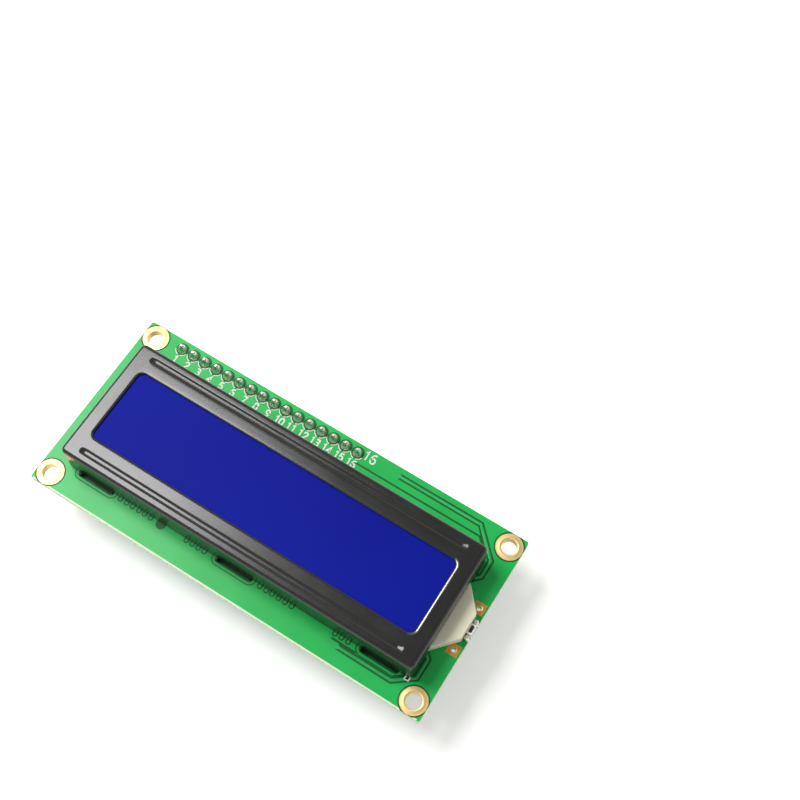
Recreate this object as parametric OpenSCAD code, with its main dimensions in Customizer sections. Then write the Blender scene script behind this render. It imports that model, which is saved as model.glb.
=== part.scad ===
// Two-line character display module with a serial interface board soldered to its back.
// Millimetres. +Z points out of the display, +Y towards the edge with the pin row, and +X along a line of text.
// The origin is the centre of the four corner holes, on the front face of the main board.

/* [Main board] */
// Width of the main board
board_w = 80; // [79:0.5:90]
// Height of the main board
board_h = 36; // [35:0.5:45]
// Thickness of the main board
board_t = 1.6; // [1:0.1:2.4]
// Diameter of the corner holes
corner_hole_d = 3; // [2:0.1:3.4]
// Distance of the corner holes from the edges of the board
corner_hole_inset = 2.5; // [2.2:0.1:3]
// Rounding of the corners of both boards
board_corner_r = 0.4; // [0.2:0.1:1]

/* [Display] */
// Sideways place of the display on the board
display_x = -0.2; // [-1:0.1:0.6]
// Place of the display along the height of the board
display_y = -0.65; // [-1:0.05:-0.3]
// Width of the viewing window
view_w = 65.2; // [55:0.1:66]
// Height of the viewing window
view_h = 14.5; // [10:0.1:16]
// Width of both glass sheets
glass_w = 69.6; // [69:0.1:71]
// Height of the front glass
glass_h = 22.6; // [22:0.1:23.2]
// Strip of the front glass, along each long edge, that the rear glass leaves open for the contacts
contact_ledge = 2.4; // [2.2:0.1:2.8]
// Thickness of each glass sheet
glass_t = 1.1; // [0.5:0.1:1.1]
// Gap that the sealing frame keeps between the glass sheets
cell_gap = 0.1; // [0.05:0.05:0.2]
// Width of the sealing frame
seal_w = 1; // [0.5:0.1:1.5]
// Thickness of each polarising film
polarizer_t = 0.25; // [0.15:0.05:0.4]
// Width that the polarising films reach past the window on each side
polarizer_lap = 1.1; // [0.5:0.1:1.5]

/* [Bezel] */
// Thickness of the bezel's steel sheet
sheet_t = 0.5; // [0.3:0.05:0.6]
// Clearance between the glass and the bezel's walls
glass_clearance = 0.3; // [0.1:0.05:0.5]
// Outside radius of the folds
fold_r = 0.7; // [0.6:0.1:0.9]
// Outside radius of the upright corners
bezel_corner_r = 1; // [0.9:0.1:1.4]
// Radius of the window's corners
view_corner_r = 1.2; // [0.5:0.1:2]
// Length of the two pressed grooves
groove_l = 65.6; // [50:0.1:66]
// Width of the two pressed grooves
groove_w = 1.3; // [1:0.1:1.5]
// Clearance between the underside of the grooves and the front glass
groove_clearance = 0.03; // [0.01:0.01:0.1]
// Distance between neighbouring tabs
tab_pitch = 29.25; // [25:0.25:30]
// Width of a tab
tab_w = 6.4; // [4:0.1:7]
// Height of the twisted end of a tab
tab_twist_h = 1.3; // [1:0.1:1.4]
// Angle that the tabs are twisted through
tab_twist = 32; // [20:1:45]
// Length of the slots for the tabs
slot_l = 7.6; // [7.2:0.1:8.2]
// Width of the slots for the tabs
slot_w = 1.2; // [1:0.05:1.4]

/* [Backlight] */
// Thickness of the light guide under the glass
guide_t = 3.3; // [2.8:0.1:4]
// Thickness of the light guide's tail
tail_t = 2.6; // [2:0.1:2.7]
// Width of the tail where it meets the lamp
tail_tip_w = 4.9; // [4.6:0.1:6]
// Distance from the edge of the glass at which the light guide starts to narrow down to the lamp
tail_root_inset = 1.3; // [0.8:0.1:3]
// Thickness of the reflector under the light guide
reflector_t = 0.2; // [0.1:0.05:0.4]
// Thickness of the diffuser over the light guide
diffuser_t = 0.3; // [0.1:0.05:0.5]
// Thickness of the lamp from the tail to the edge of the board
lamp_t = 1; // [0.8:0.05:1.2]
// Width of the lamp between its solder joints
lamp_w = 2; // [1.6:0.1:2.2]
// Height of the lamp
lamp_h = 1.7; // [1.4:0.1:2.2]
// Thickness of the rubber contact strips
contact_strip_t = 1.8; // [1.4:0.1:2]
// Length of the rubber contact strips
contact_strip_l = 64; // [50:0.5:66]

/* [Pin row] */
// Number of pins in the row
row_pins = 16; // [14:1:16]
// Distance between neighbouring pins of every header
pitch = 2.54; // [2.5:0.01:2.56]
// Distance of the pin row from the top edge of both boards
row_inset = 1.8; // [1.6:0.1:1.9]
// Distance of the row's first pin from the left edge of the main board
row_start = 8; // [7.6:0.1:9]
// Width across the flats of every header pin
pin_w = 0.64; // [0.5:0.02:0.7]
// Diameter of the holes for the header pins
pin_hole_d = 1; // [0.96:0.02:1.1]
// Height of the plastic of every header
header_h = 2.54; // [2.3:0.02:3]
// Length of pin that stands out of a solder joint's board
pin_stub = 1.8; // [1.7:0.1:2.2]
// Height of a solder joint on an outer face
joint_h = 1.4; // [1.1:0.05:1.6]
// Height of a solder joint between the boards
inner_joint_h = 0.6; // [0.4:0.05:0.7]
// Length of clipped pin that stands out between the boards
inner_stub = 0.8; // [0.5:0.05:0.9]
// Diameter of a solder joint on an outer face
joint_d = 1.9; // [1.4:0.05:2]
// Diameter of a solder joint between the boards
inner_joint_d = 1.7; // [1.4:0.05:1.8]

/* [Interface board] */
// Width of the interface board
pack_w = 41.5; // [41:0.1:43]
// Height of the interface board
pack_h = 19; // [18.6:0.1:21]
// Thickness of the interface board
pack_t = 1.6; // [1:0.1:2]
// Distance of the end headers' pins from the short edges of the interface board
end_inset = 1.7; // [1.5:0.1:1.8]
// Sideways place of the expander chip from the middle of the interface board
chip_x = -0.55; // [-1:0.05:0.5]
// Place of the expander chip above the middle of the interface board
chip_y = 0.4; // [0:0.1:0.6]
// Width of the expander chip's body
chip_w = 7.5; // [7:0.1:7.6]
// Length of the expander chip's body
chip_l = 10.3; // [9.9:0.1:10.5]
// Height of the expander chip's body
chip_h = 2.35; // [2:0.05:2.6]
// Distance between neighbouring chip leads
lead_pitch = 1.27; // [1.2:0.01:1.27]
// Distance across the tips of the chip leads
lead_span = 10.4; // [10:0.1:10.8]
// Width of a chip lead
lead_w = 0.42; // [0.3:0.02:0.5]
// Thickness of a chip lead
lead_t = 0.25; // [0.15:0.05:0.3]
// Number of pins on the bus header
bus_pins = 4; // [3:1:4]
// Distance of the bus header above the middle of the interface board
bus_rise = 0.55; // [0:0.05:0.8]
// Length of the bus pins from their bend to their tip
bus_reach = 7.4; // [6:0.1:7.8]

/* [Trimmer] */
// Side of the trimmer's square housing
trimmer_w = 7; // [6.5:0.1:7.2]
// Height of the trimmer
trimmer_h = 4.9; // [4.4:0.1:6]
// Sideways place of the trimmer from the middle of the interface board
trimmer_x = -11.25; // [-11.4:0.05:-11]
// Place of the trimmer above the middle of the interface board
trimmer_y = 1.95; // [1:0.05:2]
// Diameter of the trimmer's rotor
rotor_d = 2.9; // [2.6:0.1:3.4]
// Running clearance around the rotor
rotor_clearance = 0.05; // [0.02:0.01:0.1]
// Depth of the rotor in its housing
rotor_h = 3; // [2:0.1:3.4]
// Width of the rotor's screwdriver slots
rotor_slot_w = 0.6; // [0.4:0.05:0.8]
// Depth of the rotor's screwdriver slots
rotor_slot_d = 0.6; // [0.4:0.05:1]

/* [Jumper] */
// Distance of the jumper's header above the middle of the interface board
jumper_rise = 1.74; // [1.6:0.02:1.9]
// Length of the jumper cap's plastic
cap_l = 4.9; // [4.4:0.1:5.4]
// Width of the jumper cap
cap_w = 5; // [4.8:0.05:5.4]
// Thickness of the jumper cap
cap_t = 2.5; // [2.3:0.05:2.8]
// Clearance of the cap from the pins' bends and from the header under it
cap_clearance = 0.1; // [0.05:0.05:0.2]
// Clearance between a pin and the contact clip
clip_clearance = 0.05; // [0.02:0.01:0.1]
// Wall of the contact clip
clip_t = 0.25; // [0.15:0.05:0.35]
// Length of pin that shows past the contact clip
cap_pin_tip = 0.8; // [0.4:0.1:1.5]

/* [Small parts] */
// Length of the interface board's chip resistors
small_chip_l = 2; // [1.6:0.1:2.2]
// Width of the interface board's chip resistors
small_chip_w = 1.25; // [1:0.05:1.3]
// Length of the main board's chip resistors
large_chip_l = 3.2; // [2.8:0.1:3.4]
// Width of the main board's chip resistors
large_chip_w = 1.5; // [1.2:0.05:1.6]
// Thickness of the chip resistors
chip_part_t = 0.55; // [0.4:0.05:0.8]
// Distance of the upper row of small parts above the middle of the interface board
upper_row_y = 2.46; // [2:0.02:2.8]
// Distance of the middle row of small parts below the middle of the interface board
middle_row_y = 2.5; // [2.2:0.05:3]
// Distance of the lower row of small parts below the middle of the interface board
lower_row_y = 7.35; // [6.9:0.05:8]
// Distance of the transistor from the interface board's right edge
transistor_inset = 5.7; // [5.5:0.1:6]
// Distance of the power lamp from the interface board's right edge
power_lamp_inset = 4.75; // [4:0.05:5]
// Distance between the upright parts of the middle and upper rows
upright_pitch = 2.6; // [2:0.05:2.7]
// Distance of the lower row's first resistor from the interface board's right edge
lower_row_inset = 11.35; // [10:0.05:12]
// Distance between the resistors of the lower row
lower_row_pitch = 4.5; // [3:0.1:4.6]
// Distance of the resistor column from the main board's left edge
column_inset = 8.7; // [7:0.1:9]
// Distance of the resistor column's top below the middle of the main board
column_top = 2.2; // [1.8:0.1:3]
// Distance between the resistors of the column
column_pitch = 2.4; // [1.9:0.1:2.8]
// Clearance between the left sealed chip and the resistor beside it
beside_seal = 1.3; // [0.5:0.1:2]
// Distance of the backlight's resistor from the middle of the main board
series_resistor_x = 19.9; // [17:0.1:22]
// Distance of the backlight's resistor above the middle of the main board
series_resistor_y = 12.7; // [12.5:0.1:14]
// Distance of the option pad's solder from the main board's right edge
option_link_inset = 8.1; // [7:0.1:9]
// Place of the option pad's solder above the middle of the main board
option_link_y = 5.7; // [4:0.1:6]
// Distance of each lamp wire hole from the main board's right edge
lamp_hole_inset = 1.4; // [1:0.1:1.8]
// Distance between the two lamp wire holes
lamp_hole_span = 8.3; // [7:0.1:9]

/* [Sealed chips] */
// Radius of the left sealed chip on the main board's back
controller_r = 6.9; // [6:0.1:7.2]
// Radius of the right sealed chip on the main board's back
driver_r = 6.15; // [5:0.05:7]
// Height of the sealing compound over both chips
compound_h = 1.5; // [1:0.1:2]
// Distance of the left sealed chip from the middle of the main board
controller_x = -12.9; // [-13:0.1:-10]
// Place of the left sealed chip above the middle of the main board
controller_y = -1; // [-2:0.1:1]
// Distance of the right sealed chip from the middle of the main board
driver_x = 13.2; // [10:0.1:15]
// Place of the right sealed chip above the middle of the main board
driver_y = 0.3; // [-2:0.1:2]

/* [Hidden] */

$fn = 48;
eps = 0.01;

// Heights of the display's layers, from the face of the main board up
guide_z = reflector_t;
diffuser_z = guide_z + guide_t;
rear_polarizer_z = diffuser_z + diffuser_t;
rear_glass_z = rear_polarizer_z + polarizer_t;
seal_z = rear_glass_z + glass_t;
front_glass_z = seal_z + cell_gap;
front_polarizer_z = front_glass_z + glass_t;
sheet_z = front_polarizer_z + polarizer_t;
bezel_top = sheet_z + sheet_t;

// Outline of the bezel and what lies under it
bezel_w = glass_w + 2 * (glass_clearance + sheet_t);
bezel_h = glass_h + 2 * (glass_clearance + sheet_t);
rear_glass_h = glass_h - 2 * contact_ledge;
layer_clearance = 0.15;
guide_w = glass_w - 2.4;
guide_h = rear_glass_h - 2 * layer_clearance;
ledge_y = (glass_h - contact_ledge) / 2;
lamp_x = board_w / 2 - display_x - lamp_t / 2;
tail_tip_x = lamp_x - lamp_t / 2;
tail_root_x = glass_w / 2 - tail_root_inset;
wall_x = bezel_w / 2 - sheet_t / 2;
tail_slope = (guide_h - tail_tip_w) / 2 / (tail_tip_x - tail_root_x);
notch_w = tail_tip_w + 2 * tail_slope * (tail_tip_x - wall_x + sheet_t) + 2 * layer_clearance;

// Slots stand a little outside the walls, so that the tabs pull the bezel down
slot_shift = 0.25;
slot_y = bezel_h / 2 - sheet_t / 2 + slot_shift;
tab_pivot = tab_w * 0.3;
tab_root = 0.3;

// Pin row and interface board
row_x = -board_w / 2 + row_start;
row_y = board_h / 2 - row_inset;
row_mid_x = row_x + (row_pins - 1) * pitch / 2;
pack_x = row_mid_x;
pack_y = row_y + row_inset - pack_h / 2;
pack_in_z = -board_t - header_h;
pack_out_z = pack_in_z - pack_t;

// Bent headers: the arms run just clear of the jumper cap's half thickness above the plastic
bend_r = 0.7;
arm_z = header_h + cap_clearance + cap_t / 2;
bus_x = pack_x - pack_w / 2 + end_inset;
bus_y = pack_y + bus_rise;
jumper_x = pack_x + pack_w / 2 - end_inset;
jumper_y = pack_y + jumper_rise;
jumper_pins = 2;
cap_x = pin_w / 2 + bend_r + cap_clearance - pin_w;
clip_plate_t = 0.45;
clip_gap = 0.5;
jumper_reach = cap_x + cap_l + clip_gap + clip_plate_t + cap_pin_tip;
clip_bore = pin_w + 2 * clip_clearance;

// Places of the small parts, from the middle of their board
pack_right = pack_w / 2;
board_left = -board_w / 2;
power_lamp_at = [pack_right - power_lamp_inset, -middle_row_y];
transistor_at = [pack_right - transistor_inset, upper_row_y];
upper_resistor_at = [transistor_at[0] - 1.4 * upright_pitch, upper_row_y];
capacitor_at = [upper_resistor_at[0] - upright_pitch, upper_row_y];
interface_resistors_upright = [upper_resistor_at,
    for (i = [1:3]) power_lamp_at - [i * upright_pitch, 0]];
interface_resistors_flat = [for (i = [0:2])
    [pack_right - lower_row_inset - i * lower_row_pitch, -lower_row_y]];
controller_at = [controller_x, controller_y];
driver_at = [driver_x, driver_y];
board_resistors_flat = [[series_resistor_x, series_resistor_y],
    for (i = [0:2]) [board_left + column_inset, -column_top - i * column_pitch],
    [controller_x - controller_r - beside_seal - large_chip_l / 2, -column_top - column_pitch * 0.8]];
option_link_at = [board_w / 2 - option_link_inset, option_link_y];
option_link_r = 1.1;
option_link_h = 0.5;
trimmer_legs = [[-pitch, -pitch / 2], [pitch, -pitch / 2], [0, pitch / 2]];
trimmer_leg_d = 0.6;
chip_stand = 0.15;
lead_z = (chip_stand + chip_h) / 2;
trimmer_foot = 0.4;
transistor_size = [2.9, 1.3, 1];
transistor_lead_w = 0.45;

// ---- placing helpers ----

// Puts children on the display's own centre
module on_display() {
    translate([display_x, display_y, 0]) children();
}

// Puts children on the back face of the main board, with their +Z pointing away from it
module behind_board(at) {
    translate([at[0], at[1], -board_t]) mirror([0, 0, 1]) children();
}

// Puts children on the outer face of the interface board, at a place from its middle
module on_interface(at) {
    translate([pack_x + at[0], pack_y + at[1], pack_out_z]) mirror([0, 0, 1]) children();
}

// Repeats children for each pin of the row, at the face of the main board
module each_row_pin() {
    for (i = [0:row_pins - 1])
        translate([row_x + i * pitch, row_y, 0]) children();
}

// Repeats children along Y for the pins of a short header
module each_bent_pin(count) {
    for (i = [0:count - 1])
        translate([0, (i - (count - 1) / 2) * pitch, 0]) children();
}

// Repeats children at the six tabs of the bezel, turned so that +Y points outwards
module each_tab() {
    for (side = [0, 180])
        rotate([0, 0, side])
            for (i = [-1:1])
                translate([i * tab_pitch, 0, 0]) children();
}

// ---- shapes that repeat ----

// Flat rectangle with round corners, centred
module round_rect(w, h, r) {
    union() {
        square([w - 2 * r, h], center = true);
        square([w, h - 2 * r], center = true);
        for (x = [-1, 1], y = [-1, 1])
            translate([x * (w / 2 - r), y * (h / 2 - r)]) circle(r = r);
    }
}

// Flat slot with round ends along X, centred
module slot(l, w) {
    union() {
        square([l - w, w], center = true);
        for (x = [-1, 1])
            translate([x * (l - w) / 2, 0]) circle(d = w);
    }
}

// Plate centred in X and Y, standing on z
module plate(w, h, t, z) {
    translate([-w / 2, -h / 2, z]) cube([w, h, t]);
}

// Solder joint: a cone that climbs a square pin
module joint(h, d) {
    difference() {
        cylinder(h = h, d1 = d, d2 = pin_w * 1.5, $fn = 20);
        translate([-pin_w / 2, -pin_w / 2, -eps]) cube([pin_w, pin_w, h + 2 * eps]);
    }
}

// Plastic of a header: one chamfered block for each pin, in a row along Y
module header_base(count) {
    c = 0.35;
    s = pitch / 2;
    outline = [[s - c, -s], [s, -s + c], [s, s - c], [s - c, s], [-s + c, s], [-s, s - c],
        [-s, -s + c], [-s + c, -s]];
    each_bent_pin(count)
        difference() {
            linear_extrude(header_h) polygon(outline);
            translate([-pin_w / 2, -pin_w / 2, -eps]) cube([pin_w, pin_w, header_h + 2 * eps]);
        }
}

// Header pin that rises through its board and bends over towards +X
module bent_pin(reach) {
    leg = pack_t + inner_stub;
    union() {
        translate([-pin_w / 2, -pin_w / 2, -leg]) cube([pin_w, pin_w, leg + arm_z - bend_r]);
        translate([bend_r, 0, arm_z - bend_r])
            rotate([90, 0, 180])
                rotate_extrude(angle = 90)
                    translate([bend_r, 0]) square(pin_w, center = true);
        translate([bend_r, -pin_w / 2, arm_z - pin_w / 2]) cube([reach - bend_r, pin_w, pin_w]);
    }
}

// Body of a chip part, long along X
module chip_body(l, w) {
    translate([-l / 2 + 0.35, -w / 2, 0.04]) cube([l - 0.7, w, chip_part_t - 0.04]);
}

// Two metal ends of a chip part
module chip_ends(l, w) {
    for (x = [-1, 1])
        translate([x * (l / 2 - 0.175), 0, 0]) plate(0.35, w, chip_part_t, 0);
}

// Low round dome of a given radius and height
module dome(r, h) {
    ball = (r * r + h * h) / (2 * h);
    intersection() {
        translate([0, 0, h - ball]) sphere(r = ball, $fn = 144);
        translate([-r - 1, -r - 1, 0]) cube([2 * r + 2, 2 * r + 2, h + 1]);
    }
}

// ---- main board ----

module main_board() {
    color("forestgreen")
    difference() {
        translate([0, 0, -board_t]) linear_extrude(board_t) round_rect(board_w, board_h, board_corner_r);
        for (x = [-1, 1], y = [-1, 1])
            translate([x * (board_w / 2 - corner_hole_inset), y * (board_h / 2 - corner_hole_inset),
                -board_t - eps])
                cylinder(h = board_t + 2 * eps, d = corner_hole_d);
        each_row_pin()
            translate([0, 0, -board_t - eps]) cylinder(h = board_t + 2 * eps, d = pin_hole_d, $fn = 20);
        on_display() each_tab()
            translate([0, slot_y, -board_t - eps])
                linear_extrude(board_t + 2 * eps) slot(slot_l, slot_w);
        for (y = [-1, 1])
            translate([board_w / 2 - lamp_hole_inset, display_y + y * lamp_hole_span / 2, -board_t - eps])
                cylinder(h = board_t + 2 * eps, d = pin_hole_d, $fn = 20);
    }
}

// ---- display ----

// Section of the bezel's edge: wall, fold and the start of the face, with the upright corner's axis at 0
module edge_section() {
    union() {
        translate([bezel_corner_r - sheet_t, 0]) square([sheet_t, bezel_top - fold_r]);
        translate([bezel_corner_r - fold_r, bezel_top - fold_r])
            intersection() {
                difference() {
                    circle(r = fold_r);
                    circle(r = fold_r - sheet_t);
                }
                square(fold_r + eps);
            }
        translate([0, sheet_z]) square([bezel_corner_r - fold_r, sheet_t]);
    }
}

// Straight edge of the bezel, of length l, with its outer face at y
module edge(l, y) {
    translate([-l / 2, y - bezel_corner_r, 0])
        rotate([90, 0, 90]) linear_extrude(l) edge_section();
}

// Long rounded rod that presses a groove, with its lowest line at z
module groove_rod(r, z) {
    span = groove_l - groove_w;
    translate([-span / 2, 0, z + r]) rotate([0, 90, 0]) cylinder(h = span, r = r);
    for (x = [-1, 1])
        translate([x * span / 2, 0, z + r]) sphere(r = r);
}

// Tab that passes its slot and is twisted over the back of the board
module tab() {
    translate([-tab_w / 2, -sheet_t, -board_t - tab_root])
        cube([tab_w, sheet_t, board_t + tab_root + eps]);
    translate([-tab_w / 2 + tab_pivot, -sheet_t / 2, -board_t - tab_root + eps])
        mirror([0, 0, 1])
            linear_extrude(tab_twist_h, twist = tab_twist, slices = 6, segments = 4)
                translate([-tab_pivot, -sheet_t / 2]) square([tab_w, sheet_t]);
}

module bezel() {
    flat_w = bezel_w - 2 * bezel_corner_r;
    flat_h = bezel_h - 2 * bezel_corner_r;
    groove_d = polarizer_t - groove_clearance;
    groove_r = (groove_w * groove_w / 4 + groove_d * groove_d) / (2 * groove_d);
    color("dimgray") on_display() {
        difference() {
            union() {
                plate(flat_w, flat_h, sheet_t, sheet_z);
                for (a = [0, 180])
                    rotate([0, 0, a]) {
                        edge(flat_w, bezel_h / 2);
                        rotate([0, 0, -90]) edge(flat_h, bezel_w / 2);
                        translate([flat_w / 2, flat_h / 2, 0]) rotate_extrude(angle = 90) edge_section();
                        translate([-flat_w / 2, flat_h / 2, 0])
                            rotate([0, 0, 90]) rotate_extrude(angle = 90) edge_section();
                    }
                for (y = [-1, 1])
                    intersection() {
                        translate([0, y * ledge_y, 0]) groove_rod(groove_r + sheet_t, sheet_z - groove_d);
                        plate(flat_w, flat_h, groove_d + eps, sheet_z - groove_d);
                    }
            }
            translate([0, 0, sheet_z - groove_d - eps])
                linear_extrude(sheet_t + groove_d + 2 * eps) round_rect(view_w, view_h, view_corner_r);
            for (y = [-1, 1])
                translate([0, y * ledge_y, 0]) groove_rod(groove_r, bezel_top - groove_d);
            translate([wall_x - sheet_t, -notch_w / 2, -eps])
                cube([2 * sheet_t, notch_w, guide_z + tail_t + layer_clearance + eps]);
        }
        each_tab() translate([0, bezel_h / 2, 0]) tab();
    }
}

module front_polarizer() {
    color("midnightblue") on_display()
        plate(view_w + 2 * polarizer_lap, view_h + 2 * polarizer_lap, polarizer_t, front_polarizer_z);
}

module front_glass() {
    color("mediumblue") on_display() plate(glass_w, glass_h, glass_t, front_glass_z);
}

module cell_seal() {
    color("gainsboro") on_display()
        difference() {
            plate(glass_w, rear_glass_h, cell_gap, seal_z);
            plate(glass_w - 2 * seal_w, rear_glass_h - 2 * seal_w, cell_gap + 2 * eps, seal_z - eps);
        }
}

module rear_glass() {
    color("mediumblue") on_display() plate(glass_w, rear_glass_h, glass_t, rear_glass_z);
}

module rear_polarizer() {
    color("midnightblue") on_display()
        plate(view_w + 2 * polarizer_lap, view_h + 2 * polarizer_lap, polarizer_t, rear_polarizer_z);
}

module diffuser_film() {
    color("whitesmoke") on_display()
        plate(view_w + 2 * polarizer_lap, view_h + 2 * polarizer_lap, diffuser_t, diffuser_z);
}

module light_guide() {
    left = -guide_w / 2;
    outline = [[left, -guide_h / 2], [tail_root_x, -guide_h / 2], [tail_tip_x, -tail_tip_w / 2],
        [tail_tip_x, tail_tip_w / 2], [tail_root_x, guide_h / 2], [left, guide_h / 2]];
    color("white") on_display() {
        translate([left, -guide_h / 2, guide_z]) cube([tail_root_x - left, guide_h, guide_t]);
        translate([0, 0, guide_z]) linear_extrude(tail_t) polygon(outline);
    }
}

module reflector_film() {
    color("white") on_display()
        translate([-guide_w / 2, -guide_h / 2, 0]) cube([tail_root_x + guide_w / 2, guide_h, reflector_t]);
}

module contact_strip(side) {
    color("darkslategray") on_display()
        translate([0, side * ledge_y, 0]) plate(contact_strip_l, contact_strip_t, front_glass_z, 0);
}

module upper_contact_strip() {
    contact_strip(1);
}

module lower_contact_strip() {
    contact_strip(-1);
}

module backlight_lamp() {
    color("ivory") on_display() translate([lamp_x, 0, 0]) plate(lamp_t, lamp_w, lamp_h, 0);
}

module lamp_solder() {
    color("silver") on_display()
        for (y = [-1, 1])
            translate([lamp_x, y * (lamp_w / 2 + lamp_t / 2), 0]) {
                cylinder(h = lamp_h - lamp_t / 2, d = lamp_t, $fn = 24);
                translate([0, 0, lamp_h - lamp_t / 2]) sphere(d = lamp_t, $fn = 24);
            }
}

// ---- chips sealed onto the back of the main board ----

module controller_seal() {
    color([0.07, 0.07, 0.08]) behind_board(controller_at) dome(controller_r, compound_h);
}

module driver_seal() {
    color([0.07, 0.07, 0.08]) behind_board(driver_at) dome(driver_r, compound_h);
}

module option_link() {
    color("silver") behind_board(option_link_at) dome(option_link_r, option_link_h);
}

// ---- pin row between the boards ----

module row_header_base() {
    color([0.12, 0.12, 0.13])
        translate([row_mid_x, row_y, -board_t - header_h]) rotate([0, 0, 90]) header_base(row_pins);
}

module row_header_pins() {
    color("khaki") each_row_pin()
        translate([-pin_w / 2, -pin_w / 2, pack_out_z - pin_stub])
            cube([pin_w, pin_w, pin_stub - pack_out_z + pin_stub]);
}

module front_joints() {
    color("silver") each_row_pin() joint(joint_h, joint_d);
}

module rear_joints() {
    color("silver") each_row_pin() translate([0, 0, pack_out_z]) mirror([0, 0, 1]) joint(joint_h, joint_d);
}

// ---- interface board ----

// Repeats children at the holes for the bent headers and the trimmer, on the board's outer face
module each_pack_hole() {
    on_interface([bus_x - pack_x, bus_y - pack_y]) each_bent_pin(bus_pins) children();
    on_interface([jumper_x - pack_x, jumper_y - pack_y]) each_bent_pin(jumper_pins) children();
    for (at = trimmer_legs)
        on_interface([trimmer_x + at[0], trimmer_y + at[1]]) children();
}

module interface_board() {
    color([0.1, 0.1, 0.1])
    difference() {
        translate([pack_x, pack_y, pack_out_z]) linear_extrude(pack_t)
            round_rect(pack_w, pack_h, board_corner_r);
        each_row_pin()
            translate([0, 0, pack_out_z - eps]) cylinder(h = pack_t + 2 * eps, d = pin_hole_d, $fn = 20);
        each_pack_hole()
            translate([0, 0, -pack_t - eps]) cylinder(h = pack_t + 2 * eps, d = pin_hole_d, $fn = 20);
    }
}

// Joints of the bent headers and the trimmer, on the face towards the main board
module inner_joints() {
    color("silver") {
        on_interface([bus_x - pack_x, bus_y - pack_y]) each_bent_pin(bus_pins) inner_joint();
        on_interface([jumper_x - pack_x, jumper_y - pack_y]) each_bent_pin(jumper_pins) inner_joint();
        for (at = trimmer_legs)
            on_interface([trimmer_x + at[0], trimmer_y + at[1]]) inner_leg_joint();
    }
}

module inner_joint() {
    translate([0, 0, -pack_t]) mirror([0, 0, 1]) joint(inner_joint_h, inner_joint_d);
}

module inner_leg_joint() {
    translate([0, 0, -pack_t]) mirror([0, 0, 1])
        difference() {
            cylinder(h = inner_joint_h, d1 = inner_joint_d, d2 = trimmer_leg_d * 1.5, $fn = 20);
            translate([0, 0, -eps]) cylinder(h = inner_joint_h + 2 * eps, d = trimmer_leg_d, $fn = 20);
        }
}

// Moulded body with drafted long sides and a pin-one dimple
module expander_chip() {
    draft = 0.3;
    half = chip_w / 2;
    section = [[-half + draft, chip_stand], [half - draft, chip_stand], [half, lead_z], [half - draft, chip_h],
        [-half + draft, chip_h], [-half, lead_z]];
    color([0.22, 0.22, 0.22]) on_interface([chip_x, chip_y])
        difference() {
            rotate([90, 0, 0]) translate([0, 0, -chip_l / 2]) linear_extrude(chip_l) polygon(section);
            translate([-half + 1.1, -chip_l / 2 + 1.3, chip_h - 0.12]) cylinder(h = 1, d = 1.1, $fn = 24);
        }
}

// Gull-wing leads, eight a side
module expander_leads() {
    half = chip_w / 2;
    tip = lead_span / 2;
    foot = 0.75;
    shoulder = half + 0.35;
    path = [[half, lead_z - lead_t / 2], [shoulder - lead_t, lead_z - lead_t / 2], [tip - foot - lead_t, 0.1],
        [tip - foot, 0], [tip, 0], [tip, lead_t], [tip - foot, lead_t], [shoulder, lead_z + lead_t / 2],
        [half, lead_z + lead_t / 2]];
    color("silver") on_interface([chip_x, chip_y])
        for (side = [0, 180], i = [0:7])
            rotate([0, 0, side])
                translate([0, (i - 3.5) * lead_pitch + lead_w / 2, 0])
                    rotate([90, 0, 0]) linear_extrude(lead_w) polygon(path);
}

// ---- trimmer ----

module trimmer_housing() {
    color("dodgerblue") on_interface([trimmer_x, trimmer_y])
        difference() {
            union() {
                plate(trimmer_w, trimmer_w, trimmer_h - trimmer_foot, trimmer_foot);
                for (x = [-1, 1], y = [-1, 1])
                    translate([x * (trimmer_w / 2 - 0.6), y * (trimmer_w / 2 - 0.6), 0])
                        plate(1.2, 1.2, trimmer_foot + eps, 0);
            }
            translate([0, 0, trimmer_h - rotor_h - rotor_clearance])
                cylinder(h = rotor_h + 1, d = rotor_d + 2 * rotor_clearance);
            translate([2.4, -1.8, trimmer_h - 0.15]) cylinder(h = 1, d = 0.7, $fn = 20);
        }
}

module trimmer_rotor() {
    color("gainsboro") on_interface([trimmer_x, trimmer_y])
        difference() {
            translate([0, 0, trimmer_h - rotor_h]) cylinder(h = rotor_h - 0.1, d = rotor_d);
            for (a = [0, 90])
                rotate([0, 0, a])
                    plate(rotor_slot_w, rotor_d + 1, 1, trimmer_h - 0.1 - rotor_slot_d);
        }
}

module trimmer_pins() {
    color("silver")
        for (at = trimmer_legs)
            on_interface([trimmer_x + at[0], trimmer_y + at[1]])
                translate([0, 0, -pack_t - inner_stub])
                    cylinder(h = pack_t + inner_stub + trimmer_foot, d = trimmer_leg_d, $fn = 20);
}

// ---- bent headers and the jumper ----

module jumper_header_base() {
    color([0.12, 0.12, 0.13])
        on_interface([jumper_x - pack_x, jumper_y - pack_y]) header_base(jumper_pins);
}

module jumper_header_pins() {
    color("khaki") on_interface([jumper_x - pack_x, jumper_y - pack_y])
        each_bent_pin(jumper_pins) bent_pin(jumper_reach);
}

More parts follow.
